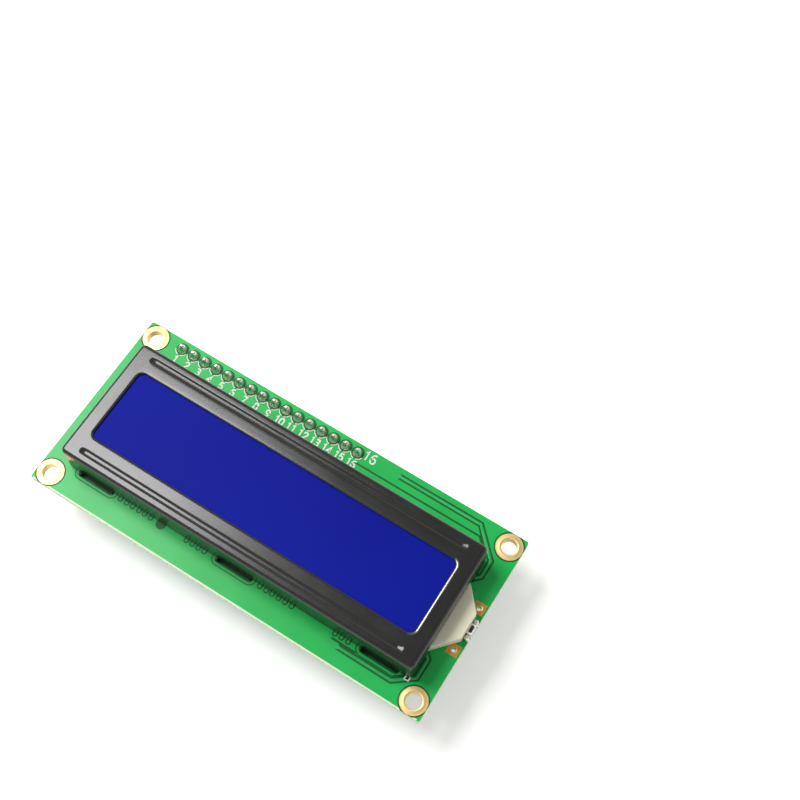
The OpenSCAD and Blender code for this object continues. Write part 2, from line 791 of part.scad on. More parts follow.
// Plastic of the jumper cap, with a channel for each sleeve of the clip and a notch in its far end
module jumper_cap() {
    sleeve_w = clip_bore + 2 * clip_t;
    color([0.28, 0.28, 0.28]) on_interface([jumper_x - pack_x, jumper_y - pack_y])
        difference() {
            translate([cap_x, -cap_w / 2, arm_z - cap_t / 2]) cube([cap_l, cap_w, cap_t]);
            each_bent_pin(jumper_pins)
                translate([cap_x - eps, -sleeve_w / 2, arm_z - sleeve_w / 2])
                    cube([cap_l + 2 * eps, sleeve_w, sleeve_w]);
            translate([cap_x + cap_l, 0, arm_z + sleeve_w / 2 + 0.05]) cylinder(h = cap_t, r = 0.9);
        }
}

// Contact clip: two sleeves on the pins, joined by a plate past the end of the cap
module jumper_clip() {
    sleeve_w = clip_bore + 2 * clip_t;
    plate_x = cap_x + cap_l + clip_gap;
    color("lightgray") on_interface([jumper_x - pack_x, jumper_y - pack_y])
        difference() {
            union() {
                each_bent_pin(jumper_pins)
                    translate([cap_x + 0.4, -sleeve_w / 2, arm_z - sleeve_w / 2])
                        cube([plate_x - cap_x - 0.4 + eps, sleeve_w, sleeve_w]);
                translate([plate_x, -cap_w / 2 + 0.1, arm_z - cap_t / 2 + 0.3])
                    cube([clip_plate_t, cap_w - 0.2, cap_t - 0.6]);
            }
            each_bent_pin(jumper_pins)
                translate([cap_x, -clip_bore / 2, arm_z - clip_bore / 2])
                    cube([jumper_reach, clip_bore, clip_bore]);
        }
}

module bus_header_base() {
    color([0.12, 0.12, 0.13])
        on_interface([bus_x - pack_x, bus_y - pack_y]) header_base(bus_pins);
}

module bus_header_pins() {
    color("khaki") on_interface([bus_x - pack_x, bus_y - pack_y])
        each_bent_pin(bus_pins) rotate([0, 0, 180]) bent_pin(bus_reach);
}

// ---- small parts ----

module transistor() {
    color([0.2, 0.2, 0.2]) on_interface(transistor_at)
        plate(transistor_size[0], transistor_size[1], transistor_size[2] - 0.1, 0.1);
}

module transistor_leads() {
    out = transistor_size[1] / 2;
    color("silver") on_interface(transistor_at) {
        for (x = [-0.95, 0.95])
            translate([x, -out - 0.3, 0]) plate(transistor_lead_w, 0.6, 0.15, 0);
        for (x = [-0.95, 0.95])
            translate([x, -out - 0.06, 0]) plate(transistor_lead_w, 0.12, 0.6, 0);
        translate([0, out + 0.3, 0]) plate(transistor_lead_w, 0.6, 0.15, 0);
        translate([0, out + 0.06, 0]) plate(transistor_lead_w, 0.12, 0.6, 0);
    }
}

module power_lamp() {
    color("ivory") on_interface(power_lamp_at) rotate([0, 0, 90]) chip_body(small_chip_l, small_chip_w);
}

module power_lamp_ends() {
    color("silver") on_interface(power_lamp_at) rotate([0, 0, 90]) chip_ends(small_chip_l, small_chip_w);
}

module capacitor() {
    color("tan") on_interface(capacitor_at) rotate([0, 0, 90]) chip_body(small_chip_l, small_chip_w);
}

module capacitor_ends() {
    color("silver") on_interface(capacitor_at) rotate([0, 0, 90]) chip_ends(small_chip_l, small_chip_w);
}

module interface_resistors() {
    color([0.15, 0.15, 0.16]) {
        for (at = interface_resistors_upright)
            on_interface(at) rotate([0, 0, 90]) chip_body(small_chip_l, small_chip_w);
        for (at = interface_resistors_flat)
            on_interface(at) chip_body(small_chip_l, small_chip_w);
    }
}

module interface_resistor_ends() {
    color("silver") {
        for (at = interface_resistors_upright)
            on_interface(at) rotate([0, 0, 90]) chip_ends(small_chip_l, small_chip_w);
        for (at = interface_resistors_flat)
            on_interface(at) chip_ends(small_chip_l, small_chip_w);
    }
}

module board_resistors() {
    color([0.15, 0.15, 0.16])
        for (at = board_resistors_flat)
            behind_board(at) chip_body(large_chip_l, large_chip_w);
}

module board_resistor_ends() {
    color("silver")
        for (at = board_resistors_flat)
            behind_board(at) chip_ends(large_chip_l, large_chip_w);
}

main_board();
bezel();
front_polarizer();
front_glass();
cell_seal();
rear_glass();
rear_polarizer();
diffuser_film();
light_guide();
reflector_film();
upper_contact_strip();
lower_contact_strip();
backlight_lamp();
lamp_solder();
controller_seal();
driver_seal();
row_header_base();
row_header_pins();
front_joints();
rear_joints();
interface_board();
inner_joints();
expander_chip();
expander_leads();
trimmer_housing();
trimmer_rotor();
trimmer_pins();
jumper_header_base();
jumper_header_pins();
jumper_cap();
jumper_clip();
bus_header_base();
bus_header_pins();
transistor();
transistor_leads();
power_lamp();
power_lamp_ends();
capacitor();
capacitor_ends();
interface_resistors();
interface_resistor_ends();
board_resistors();
board_resistor_ends();
option_link();
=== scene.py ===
import math

import bmesh
import bpy
import numpy as np
from bpy.props import FloatProperty, FloatVectorProperty, PointerProperty
from mathutils import Matrix, Vector


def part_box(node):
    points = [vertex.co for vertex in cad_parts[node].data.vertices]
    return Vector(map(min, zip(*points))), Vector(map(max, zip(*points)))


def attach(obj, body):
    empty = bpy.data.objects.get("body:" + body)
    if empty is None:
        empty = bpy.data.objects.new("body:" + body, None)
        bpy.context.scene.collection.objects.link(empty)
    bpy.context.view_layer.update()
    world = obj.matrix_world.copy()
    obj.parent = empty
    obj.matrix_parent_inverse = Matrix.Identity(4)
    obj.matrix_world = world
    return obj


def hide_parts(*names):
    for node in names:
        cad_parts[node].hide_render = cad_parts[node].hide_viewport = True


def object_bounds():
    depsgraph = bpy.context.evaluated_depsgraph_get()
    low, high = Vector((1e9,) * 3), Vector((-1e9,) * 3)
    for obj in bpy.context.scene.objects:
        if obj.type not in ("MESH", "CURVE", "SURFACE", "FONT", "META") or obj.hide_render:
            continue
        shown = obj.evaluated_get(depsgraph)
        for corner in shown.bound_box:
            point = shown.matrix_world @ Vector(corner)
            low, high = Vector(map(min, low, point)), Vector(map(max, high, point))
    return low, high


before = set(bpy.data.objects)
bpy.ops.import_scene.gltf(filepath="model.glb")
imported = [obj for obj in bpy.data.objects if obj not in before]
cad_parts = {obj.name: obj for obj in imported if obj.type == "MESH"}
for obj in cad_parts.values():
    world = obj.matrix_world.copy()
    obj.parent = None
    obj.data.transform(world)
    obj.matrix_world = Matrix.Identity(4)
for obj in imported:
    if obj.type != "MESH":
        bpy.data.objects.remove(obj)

bl_info = {
    "name": "Character display module",
    "version": (1, 0, 0),
    "blender": (4, 5, 0),
    "location": "3D Viewport > Sidebar > Display module",
    "description": "Dresses the packed model of a two-line character display and its interface board",
    "category": "Object",
}

MM = 0.001
CAD_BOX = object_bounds()


# ---- colours and nodes ----

def linear(code):
    """Linear RGBA of an sRGB hex colour: c/12.92 near black, otherwise ((c + 0.055)/1.055) to the 2.4."""
    rgb = np.array([int(code[i:i + 2], 16) for i in (1, 3, 5)]) / 255
    rgb = np.where(rgb <= 0.04045, rgb / 12.92, ((rgb + 0.055) / 1.055) ** 2.4)
    return (*(float(c) for c in rgb), 1.0)


def add(tree, kind, inputs=None, **settings):
    """Adds a node with its settings; an input is a value, or the socket that feeds it."""
    node = tree.nodes.new(kind)
    for name, value in settings.items():
        setattr(node, name, value)
    for key, value in (inputs or {}).items():
        if isinstance(value, bpy.types.NodeSocket):
            tree.links.new(value, node.inputs[key])
        else:
            node.inputs[key].default_value = value
    return node


def per_mm(size):
    """Pattern scale, in Object coordinates, at which one cell of a pattern is size millimetres."""
    return 1 / (size * MM)


def new_material(name):
    """An empty node material, or the one of that name with its nodes cleared, and its node tree."""
    material = bpy.data.materials.get(name) or bpy.data.materials.new(name)
    material.use_nodes = True
    material.node_tree.nodes.clear()
    return material, material.node_tree


def surfaced(material, sockets):
    """The material with a principled shader of those inputs joined to its output."""
    shader = add(material.node_tree, "ShaderNodeBsdfPrincipled", sockets)
    add(material.node_tree, "ShaderNodeOutputMaterial", {"Surface": shader.outputs[0]})
    return material


def grain(tree, size, detail=1.0):
    """Noise on Object coordinates with cells of the given size in millimetres."""
    place = add(tree, "ShaderNodeTexCoord").outputs["Object"]
    return add(tree, "ShaderNodeTexNoise",
               {"Vector": place, "Scale": per_mm(size), "Detail": detail}).outputs[0]


def spread(tree, value, low, high):
    """Maps a 0.3 to 0.7 noise onto low to high."""
    return add(tree, "ShaderNodeMapRange", {"Value": value, "From Min": 0.3, "From Max": 0.7, "To Min": low,
                                            "To Max": high}).outputs[0]


def mix_values(tree, factor, first, second):
    """The first value where the factor is 0, the second where it is 1."""
    return add(tree, "ShaderNodeMix", {"Factor": factor, "A": first, "B": second}).outputs["Result"]


def two_tone(tree, factor, first, second):
    """Colour between first and second by a factor; each is a colour or a socket."""
    return add(tree, "ShaderNodeMix", {"Factor": factor, "A": first, "B": second},
               data_type="RGBA").outputs["Result"]


def patchy(tree, noise, first, second):
    """Colour that wanders between two hex colours with a noise."""
    return two_tone(tree, spread(tree, noise, 0.0, 1.0), linear(first), linear(second))


def compute(tree, operation, first, second=0.0):
    """Result of a math node; each operand is a value or a socket."""
    return add(tree, "ShaderNodeMath", {0: first, 1: second}, operation=operation).outputs[0]


def bumped(tree, height, depth):
    """Normal bumped by a height of 0 to 1, which stands for a depth in millimetres."""
    return add(tree, "ShaderNodeBump", {"Height": height, "Distance": depth * MM}).outputs[0]


def facing(tree):
    """Which way the surface looks in its own coordinates: 1 is along Z, -1 against it."""
    normal = add(tree, "ShaderNodeTexCoord").outputs["Normal"]
    return add(tree, "ShaderNodeSeparateXYZ", {0: normal}).outputs["Z"]


# ---- materials ----

METAL = {"Metallic": 1.0}

# Moulded, cast, printed and plated finishes, by the name of the real material: two near colours, the size of
# their patches, the roughness from one to the other, the size of the grain and its depth, and other inputs.
# Sizes are in millimetres.
FINISHES = {
    # Glass-epoxy where the mask stops short of the board's long edge: pale and dull
    "bare_glass_epoxy": ("#eeffe2", "#e2f6cf", 1.3, (0.6, 0.75), 0.2, 0.004, {}),
    # Green mask over copper, which shows a lighter green than over bare laminate
    "green_mask_over_copper": ("#25b254", "#30bd60", 3.0, (0.26, 0.34), 0.2, 0.003,
                               {"Specular IOR Level": 0.3}),
    # Green mask where the copper is etched away round a trace, the darkest green on the board
    "green_mask_over_etched_gap": ("#0a5c27", "#0d672e", 2.0, (0.35, 0.42), 0.2, 0.003,
                                   {"Specular IOR Level": 0.25}),
    # Black mask over copper, a shade lighter than the rest of the interface board
    "black_mask_over_copper": ("#2b2a27", "#31302c", 2.0, (0.28, 0.36), 0.2, 0.003, {}),
    # Epoxy legend ink, screen printed: warm white, matt, a little uneven along each stroke
    "white_legend_ink": ("#f2f4ea", "#dfe6d6", 0.5, (0.55, 0.7), 0.12, 0.006, {}),
    # Immersion gold over nickel on bare copper: satin, deep yellow, with faint darker clouds
    "immersion_gold": ("#e9b765", "#d9a04c", 1.2, (0.26, 0.38), 0.09, 0.0035, METAL),
    # Gold of the rings at the corner holes: thinner, paler and duller than on the pads
    "pale_immersion_gold": ("#f0d598", "#e2c383", 1.2, (0.44, 0.54), 0.09, 0.004, METAL),
    # Tin plate on brass or steel: bright, slightly grey and drawn
    "tin_plate": ("#dedbd2", "#cbc6bb", 0.8, (0.22, 0.34), 0.1, 0.003, METAL),
    # Tin and lead solder, cooled: shiny with dull frosted patches and fine ripples
    "soft_solder": ("#ebe7de", "#cdc6ba", 0.45, (0.2, 0.42), 0.18, 0.012, METAL),
    # Black baked lacquer on folded steel: satin, with a fine grain that breaks up its reflections
    "black_baked_lacquer": ("#1b1b18", "#20201c", 6.0, (0.2, 0.24), 0.12, 0.0018, {"IOR": 1.56}),
    # Painted highlight on the window's right edge only: dark steel, paler and shinier than the lacquer, that
    # flashes white where it meets the light
    "rubbed_lacquer_edge": ("#6f6e6a", "#7b7a75", 3.0, (0.16, 0.2), 0.3, 0.001, METAL),
    # Edge of the cell's soda-lime glass: dark, with the blue of the cell behind it
    "soda_lime_glass_edge": ("#1b2a66", "#22336f", 4.0, (0.05, 0.1), 2.0, 0.0, {}),
    # Polyester diffuser and reflector film: flat white, slightly cloudy
    "white_polyester_film": ("#f1f1ea", "#e4e5dc", 2.0, (0.45, 0.6), 0.2, 0.002, {}),
    # Cast acrylic light guide: milky, with light carried a little way under the surface
    "milky_acrylic": ("#fffae0", "#f6f0d0", 2.5, (0.3, 0.4), 0.25, 0.003,
                      {"IOR": 1.49, "Subsurface Weight": 0.35, "Subsurface Radius": (1.0, 0.95, 0.8),
                       "Subsurface Scale": 1.2 * MM}),
    # Silicone connector strip, black carbon layers between grey ones
    "layered_silicone_rubber": ("#2c2c2f", "#4a4a50", 0.25, (0.6, 0.75), 0.2, 0.004, {}),
    # Epoxy dropped over a bare chip and cured: glossy black with a soft, wavy skin
    "black_epoxy_compound": ("#0e0d0c", "#141311", 3.0, (0.2, 0.28), 1.4, 0.006, {}),
    # Glass-filled nylon of the headers: black, dull, speckled with fibre ends
    "glass_filled_nylon": ("#1e1d1b", "#2b2a27", 0.25, (0.5, 0.65), 0.1, 0.006, {}),
    # Moulded polyester of the jumper cap: dark grey, faintly textured
    "dark_grey_polyester": ("#4b4a42", "#565549", 0.8, (0.42, 0.55), 0.14, 0.006, {}),
    # Transfer-moulded epoxy of the chip: dark warm grey, matt, spark-textured
    "moulded_chip_epoxy": ("#57574f", "#626159", 0.9, (0.55, 0.7), 0.09, 0.008, {}),
    # Moulded epoxy of the small transistor, nearly black
    "black_moulded_epoxy": ("#23211f", "#2e2b28", 0.4, (0.45, 0.6), 0.08, 0.005, {}),
    # Polyester trimmer housing: sky blue, satin, with soft mould flow
    "sky_blue_polyester": ("#5fa6f8", "#76b5ff", 0.9, (0.35, 0.48), 0.16, 0.006, {}),
    # Nickel-plated rotor and jumper contact: pale and satin
    "nickel_plated_rotor": ("#e2ddd2", "#c8c2b6", 0.5, (0.25, 0.4), 0.12, 0.004, {"Metallic": 0.55}),
    # Dark marks moulded round the trimmer's rotor
    "dark_blue_marks": ("#153f7d", "#1a4a8e", 0.4, (0.5, 0.6), 0.1, 0.003, {}),
    # Cast resin of the lamps: pale yellow-white and a little glossy
    "cast_lamp_resin": ("#fbfbee", "#ffffff", 0.4, (0.22, 0.35), 0.15, 0.003, {}),
    # Fired ceramic of the capacitor: orange-tan, matt
    "tan_fired_ceramic": ("#eec79c", "#e2b688", 0.3, (0.45, 0.6), 0.09, 0.004, {}),
}

# Solder mask over glass-epoxy, by name: two tones of the face along Z, two of the one against it, and two of
# the cut edges. The front of the green board is the lighter one, as a copper plane lies under its mask; the
# tones of its back are darker again as painted shade.
MASKS = {
    "green_solder_mask_board": (("#1cb551", "#26bf5b"), ("#0f9039", "#12983f"), ("#eeffe2", "#e2f6cf")),
    "black_solder_mask_board": (("#1a1a18", "#1f1f1c"), ("#1a1a18", "#1f1f1c"), ("#8a7a4e", "#6d5f3c")),
}


def patched(name):
    """A finish of the table: two near colours and roughnesses in patches, and a fine grain in bump."""
    first, second, patch, rough, grain_size, depth, sockets = FINISHES[name]
    material, tree = new_material(name)
    patches = grain(tree, patch, 3.0)
    return surfaced(material, {"Base Color": patchy(tree, patches, first, second),
                               "Roughness": spread(tree, patches, *rough),
                               "Normal": bumped(tree, grain(tree, grain_size), depth), **sockets})


def solder_mask(name):
    """Silky mask with a fine orange peel on both faces of a board, and cut laminate on every edge and hole
    wall, where the glass plies show as faint lines."""
    front, back, (edge, ply) = MASKS[name]
    material, tree = new_material(name)
    upright = facing(tree)
    on_face = compute(tree, "GREATER_THAN", compute(tree, "ABSOLUTE", upright), 0.5)
    cloud = grain(tree, 9.0, 3.0)
    # the face against Z takes the back tones, which on the green board are darker as painted shade
    face = two_tone(tree, compute(tree, "GREATER_THAN", upright), patchy(tree, cloud, *back),
                    patchy(tree, cloud, *front))
    place = add(tree, "ShaderNodeTexCoord").outputs["Object"]
    plies = add(tree, "ShaderNodeTexWave", {"Vector": place, "Scale": per_mm(1.3), "Distortion": 0.6},
                bands_direction="Z").outputs["Fac"]
    cut = two_tone(tree, plies, linear(edge), linear(ply))
    return surfaced(material, {"Base Color": two_tone(tree, on_face, cut, face),
                               "Roughness": mix_values(tree, on_face, 0.75, 0.3), "Specular IOR Level": 0.25,
                               "Normal": bumped(tree, grain(tree, 0.22), 0.004)})


def blue_film(name):
    """Anti-glare polarising film over a blue cell that is dark when it shows nothing."""
    material, tree = new_material(name)
    return surfaced(material, {"Base Color": patchy(tree, grain(tree, 30.0), "#0b178d", "#0d1b98"),
                               "Roughness": 0.5, "Specular IOR Level": 0.05,
                               "Normal": bumped(tree, grain(tree, 0.16), 0.003)})


def chip_coat(name):
    """Chip resistor: white alumina with a black glassy coat on its outer face, which looks against Z."""
    material, tree = new_material(name)
    coated = compute(tree, "LESS_THAN", facing(tree), -0.8)
    fine = grain(tree, 0.15, 2.0)
    coat = patchy(tree, fine, "#24231f", "#34322c")
    return surfaced(material, {"Base Color": two_tone(tree, coated, linear("#d8d6c6"), coat),
                               "Roughness": 0.35, "IOR": 1.52, "Normal": bumped(tree, fine, 0.004)})


BUILDERS = {**dict.fromkeys(FINISHES, patched), **dict.fromkeys(MASKS, solder_mask),
            "blue_antiglare_polariser": blue_film, "coated_alumina": chip_coat}


def finish(name):
    """The material of that name."""
    return BUILDERS[name](name)


# ---- numpy shapes: each is (points, [faces]) in millimetres ----

def grid_faces(rows, columns, wrap_rows=False, wrap_columns=False):
    """Quads of a grid of points stored row by row; a wrapped direction joins its last line to its first."""
    i, j = np.indices((rows - (not wrap_rows), columns - (not wrap_columns))).reshape(2, -1)
    k, m = (i + 1) % rows, (j + 1) % columns
    return np.stack([i * columns + j, i * columns + m, k * columns + m, k * columns + j], 1)


def outward(points, faces):
    """A closed shape with its faces turned outwards: the signed volume, summed over fans of triangles as
    a . (b x c) / 6, is made positive."""
    volume = 0.0
    for f in faces:
        a = points[f[:, :1]]
        b, c = points[f[:, 1:-1]], points[f[:, 2:]]
        volume += (a * np.cross(b, c)).sum()
    return (points, faces) if volume > 0 else (points, [f[:, ::-1] for f in faces])


def moved(shape, offset):
    """The shape moved by an offset; one of two numbers leaves Z as it is."""
    return shape[0] + np.array((*offset, 0.0)[:3]), shape[1]


def turned(shape, degrees):
    """The shape turned about Z: x cos a - y sin a, x sin a + y cos a."""
    c, s = math.cos(math.radians(degrees)), math.sin(math.radians(degrees))
    return shape[0] @ np.array([[c, s, 0], [-s, c, 0], [0, 0, 1]]), shape[1]


def joined(shapes):
    """One shape from several, their faces renumbered."""
    points, faces, start = [], [], 0
    for p, groups in shapes:
        points.append(p)
        faces.extend(f + start for f in groups)
        start += len(p)
    return np.concatenate(points), faces


def copies(shape, places):
    """The shape at every place."""
    return joined([moved(shape, place) for place in places])


def lifted(flat, z):
    """Flat points at a height."""
    return np.c_[flat, np.full(len(flat), float(z))]


def skin(rings, closed=False):
    """Solid through a stack of closed rings of points: each is joined to the next, and the first and the last
    are closed by a flat face, or joined to each other."""
    rows, count = rings.shape[:2]
    faces = [grid_faces(rows, count, wrap_rows=closed, wrap_columns=True)]
    if not closed:
        ends = np.arange(count)[None]
        faces += [ends[:, ::-1], ends + (rows - 1) * count]
    return outward(rings.reshape(-1, 3), faces)


def circle(r, n=32):
    """Points of a circle, anticlockwise: x = r cos a, y = r sin a."""
    a = np.arange(n) * 2 * np.pi / n
    return np.stack([r * np.cos(a), r * np.sin(a)], 1)


def lathe(profile, sides, closed=False):
    """Profile (radius, height) turned about Z; a closed one keeps clear of the axis."""
    return skin(np.stack([lifted(circle(r, sides), z) for r, z in profile]), closed)


def disc(r, height, sides):
    """Thin disc on Z = 0."""
    return lathe([(r, 0), (r, height), (0.02, height)], sides)


def slab(outline, height, slope=0.0):
    """Flat slab on Z = 0 from an outline that runs anticlockwise; its top edge is drawn in by the slope."""
    o = np.array(outline, float)
    step = np.roll(o, -1, 0) - o
    out = np.stack([step[:, 1], -step[:, 0]], 1) / np.linalg.norm(step, axis=1)[:, None]
    corner = out + np.roll(out, 1, 0)
    corner /= np.maximum((corner * out).sum(1), 0.3)[:, None]
    return skin(np.stack([lifted(o, 0), lifted(o, height - slope), lifted(o - corner * slope, height)]))


def oblong(x0, x1, y0, y1, r=0.0, steps=4):
    """Outline of a rectangle with round corners of radius r, anticlockwise."""
    if not r:
        return np.array([(x0, y0), (x1, y0), (x1, y1), (x0, y1)], float)
    corners = ((x1 - r, y0 + r), (x1 - r, y1 - r), (x0 + r, y1 - r), (x0 + r, y0 + r))
    return np.concatenate([arc(*centre, r, start, start + 90, steps)
                           for centre, start in zip(corners, (-90, 0, 90, 180))])


def ribbon(path, width, height, slope=0.0):
    """Strip laid along a flat path, mitred at its corners: each section is a trapezium, narrower on top by
    the slope on each side. A path that ends where it began is closed on itself."""
    p = np.array(path, float)
    closed = np.allclose(p[0], p[-1])
    if closed:
        p = p[:-1]
    step = np.roll(p, -1, 0) - p
    step /= np.linalg.norm(step, axis=1)[:, None]
    before = np.roll(step, 1, 0)
    if not closed:
        step[-1] = before[-1]
        before[0] = step[0]
    side = np.stack([-(step + before)[:, 1], (step + before)[:, 0]], 1)
    side /= np.linalg.norm(side, axis=1)[:, None]
    normal = np.stack([-step[:, 1], step[:, 0]], 1)
    side /= np.maximum((side * normal).sum(1), 0.5)[:, None]
    half = width / 2
    section = ((-half, 0.0), (half, 0.0), (half - slope, height), (-half + slope, height))
    return skin(np.stack([lifted(p - side * across, up) for across, up in section], 1), closed)


def lines(paths, width, height, slope=0.0):
    """Ribbons along several paths, joined."""
    return joined([ribbon(path, width, height, slope) for path in paths])


def arc(cx, cy, r, start, end, steps=16):
    """Points of an arc from one angle to another, in degrees."""
    a = np.radians(np.linspace(start, end, steps + 1))
    return np.stack([cx + r * np.cos(a), cy + r * np.sin(a)], 1)


def rod(path, width, thick, taper=None):
    """Bar of chamfered rectangular section carried along a path in a plane of constant Y. Its width runs
    along Y and its thickness lies in the plane; taper gives each point's share of the full section."""
    p, across = np.array(path, float), np.array((0.0, 1.0, 0.0))
    step = np.gradient(p, axis=0)
    step[0], step[-1] = p[1] - p[0], p[-1] - p[-2]
    step /= np.linalg.norm(step, axis=1)[:, None]
    up = np.cross(across, step)
    share = np.ones(len(p)) if taper is None else np.array(taper, float)
    a, b, c = width / 2, thick / 2, min(width, thick) * 0.14
    ring = ((a, -b + c), (a, b - c), (a - c, b), (-a + c, b), (-a, b - c), (-a, -b + c), (-a + c, -b),
            (a - c, -b))
    return skin(np.stack([p + share[:, None] * (across * u + up * v) for u, v in ring], 1))


def mound(length, width, rise, foot=0.05):
    """Solder fillet on a pad: height falls from rise at x = 0 to foot at x = length as (1 - x)^2, and rounds
    off towards both sides as 1 - 0.75 |y|^4; the rim drops to the board."""
    n = 9
    u, v = np.meshgrid(np.linspace(0, 1, n), np.linspace(-1, 1, n), indexing="ij")
    z = foot + (rise - foot) * (1 - u) ** 2 * (1 - 0.75 * np.abs(v) ** 4)
    points = np.pad(np.stack([u * length, v * width / 2, z], -1), ((1, 1), (1, 1), (0, 0)), "edge")
    points[[0, -1], :, 2] = points[:, [0, -1], 2] = 0
    rim = np.arange((n + 2) ** 2).reshape(n + 2, n + 2)
    base = np.concatenate([rim[0, :-1], rim[:-1, -1], rim[-1, :0:-1], rim[:0:-1, 0]])
    return outward(points.reshape(-1, 3), [grid_faces(n + 2, n + 2), base[None, ::-1]])


def drop_shape(r, h, seed):
    """Cured drop on a polar grid: its rim wanders by a few sine waves of the angle, and its height falls as
    1 - rho^2.6 with slow waves laid over it, fading to nothing at the rim."""
    rho, a = np.linspace(0.02, 1, 30)[:, None], (np.arange(72) * 2 * np.pi / 72)[None]
    rim = r * (1 - 0.012 * (1 - np.sin(2 * a + seed)) - 0.008 * (1 - np.sin(3 * a + 2.3 * seed)))
    x, y = rho * np.cos(a), rho * np.sin(a)
    wave = 0.03 * np.sin(3.1 * x + seed) + 0.025 * np.sin(2.7 * y + 1.7 * seed)
    return skin(np.stack([rim * x, rim * y, h * (1 - rho ** 2.6) * (0.95 + wave)], -1))


def joint_shape(r, h, top):
    """Solder joint that climbs a pin: a cone, slightly full, r down to top as (1 - z/h)^0.85."""
    z = np.linspace(0, 1, 9)
    return lathe([*zip(top + (r - top) * (1 - z) ** 0.85, z * h), (top * 0.6, h * 1.04)], 24)


def pin_shape(low, high, width):
    """Straight square pin with both tips drawn in."""
    levels = (low, low + 0.28, high - 0.28, high)
    return rod([(0, 0, level) for level in levels], width, width, [TIP, 1, 1, TIP])


def washer(outer, inner, low, high):
    """Flat ring between two outlines with the same number of points."""
    rings = ((inner, high), (outer, high), (outer, low), (inner, low))
    return skin(np.stack([lifted(flat, z) for flat, z in rings]), closed=True)


def square(half, n=32):
    """Points of a square at the directions of circle(n): each direction is pushed out to the nearest side."""
    c = circle(1.0, n)
    return half * c / np.abs(c).max(1)[:, None]


def via_dots(places, outer, height, hole):
    """Small plated vias: a ring with a dimple, each a dozen faces round."""
    floor = height * 0.3
    profile = [(outer, 0), (outer * 0.85, height), (hole, height), (hole * 0.5, floor), (0.01, floor)]
    return copies(lathe(profile, 12), places)


def holed(outline, rim, places, up):
    """Pad of a given outline with a plated hole in it and a raised rim round the hole, at each place."""
    pad = washer(outline, circle(PAD_HOLE), 0, up)
    wall = lathe([(PAD_HOLE, up), (PAD_HOLE + 0.05, up + 0.02), (rim, up + 0.02), (rim, up)], 24, closed=True)
    return copies(joined([pad, wall]), places)


def frame_line(x0, x1, y0, y1, r=0.0):
    """Closed path round a box."""
    o = oblong(x0, x1, y0, y1, r)
    return np.concatenate([o, o[:1]])


def fan(centre, r0, r1, start, end, count):
    """Short traces that spread from a sealed chip, one at each equal step of angle."""
    return [np.stack([centre + r0 * way, centre + r1 * way]) for way in arc(0, 0, 1, start, end, count - 1)]


# ---- putting shapes on the module ----

def spot(node):
    """Lowest and highest corner of a CAD node, in millimetres."""
    low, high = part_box(node)
    return np.array(low) / MM, np.array(high) / MM


BOARD_LOW, BOARD_HIGH = spot("main_board")
PACK_LOW, PACK_HIGH = spot("interface_board")
TIP = 0.55          # share of a pin's width that is left at its tip
PAD_HOLE = 0.45     # radius of the plated holes in single pads

# Bezel, in millimetres and degrees: the fold's radius and the corners', the sheet's thickness, the glass
# ledge beside the view, the pressed grooves, the tabs with the root that stays straight, and the tabs' twist
BEZEL = {"fold": 0.7, "corner": 1.0, "sheet": 0.5, "ledge": 2.4, "groove_l": 65.6, "groove_w": 1.3,
         "groove_d": 0.22, "tab_pitch": 29.25, "tab_w": 6.4, "root": 0.3, "twist": 32.0}
ROLL_STEPS = 5      # rows of faces on the window's rolled edge
ROLL_DEPTH = 0.32   # depth of that edge as a share of its width
NOTCH_PLAY = 0.15   # between the light guide and the bezel's wall round it
HOLE_INSET = 2.5    # of the holes in the board's corners, from both edges
HOLE_RADIUS = 1.5
GAP = 0.008         # height at which an etched gap is drawn over its board


def on_front(shape):
    """Local X right, Y up, Z out of the main board's front face, from the middle of the board."""
    return moved(shape, (0, 0, BOARD_HIGH[2]))


def on_back(shape, height=None):
    """The same for a face that looks backwards: half a turn about Y, so X runs the other way."""
    height = BOARD_LOW[2] if height is None else height
    return shape[0] * (-1, 1, -1) + (0, 0, height), shape[1]


def on_pack(shape):
    """The same for the outer face of the interface board."""
    return on_back(shape, PACK_LOW[2])


def drawn(points):
    """Points measured right and down from the top left corner of a view of the main board, as X and Y."""
    p = np.array(points, float).reshape(-1, 2)
    return np.stack([p[:, 0] + BOARD_LOW[0], BOARD_HIGH[1] - p[:, 1]], 1)


def drawn_box(x0, x1, y0, y1, grow=0.0):
    """The same for a box, grown on every side: its low and high X, then its low and high Y."""
    (left, bottom), (right, top) = drawn([(x0, y1), (x1, y0)])
    return left - grow, right + grow, bottom - grow, top + grow


def seen_box(low, high, margin=0.0):
    """Box of a CAD solid, grown by a margin, in the local X and Y of a back face."""
    return -high[0] - margin, -low[0] + margin, low[1] - margin, high[1] + margin


def add_piece(name, shape, material, body="module", smooth=False, stands_for=()):
    """A mesh piece from a shape in millimetres, of the named material, riding on a body."""
    points, faces = shape
    corners = np.concatenate([f.ravel() for f in faces]).astype(np.int32)
    counts = np.concatenate([np.full(len(f), f.shape[1]) for f in faces])
    mesh = bpy.data.meshes.new(name)
    mesh.vertices.add(len(points))
    mesh.vertices.foreach_set("co", (points * MM).astype(np.float32).ravel())
    mesh.loops.add(len(corners))
    mesh.loops.foreach_set("vertex_index", corners)
    mesh.polygons.add(len(counts))
    mesh.polygons.foreach_set("loop_start", np.concatenate([[0], np.cumsum(counts)[:-1]]).astype(np.int32))
    mesh.polygons.foreach_set("use_smooth", np.full(len(counts), bool(smooth)))
    mesh.update(calc_edges=True)
    mesh.validate()
    mesh.materials.append(finish(material))
    if smooth:
        mesh.set_sharp_from_angle(angle=math.radians(smooth))
    piece = bpy.data.objects.new(name, mesh)
    bpy.context.scene.collection.objects.link(piece)
    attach(piece, body)
    if stands_for:
        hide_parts(*stands_for)
    return piece


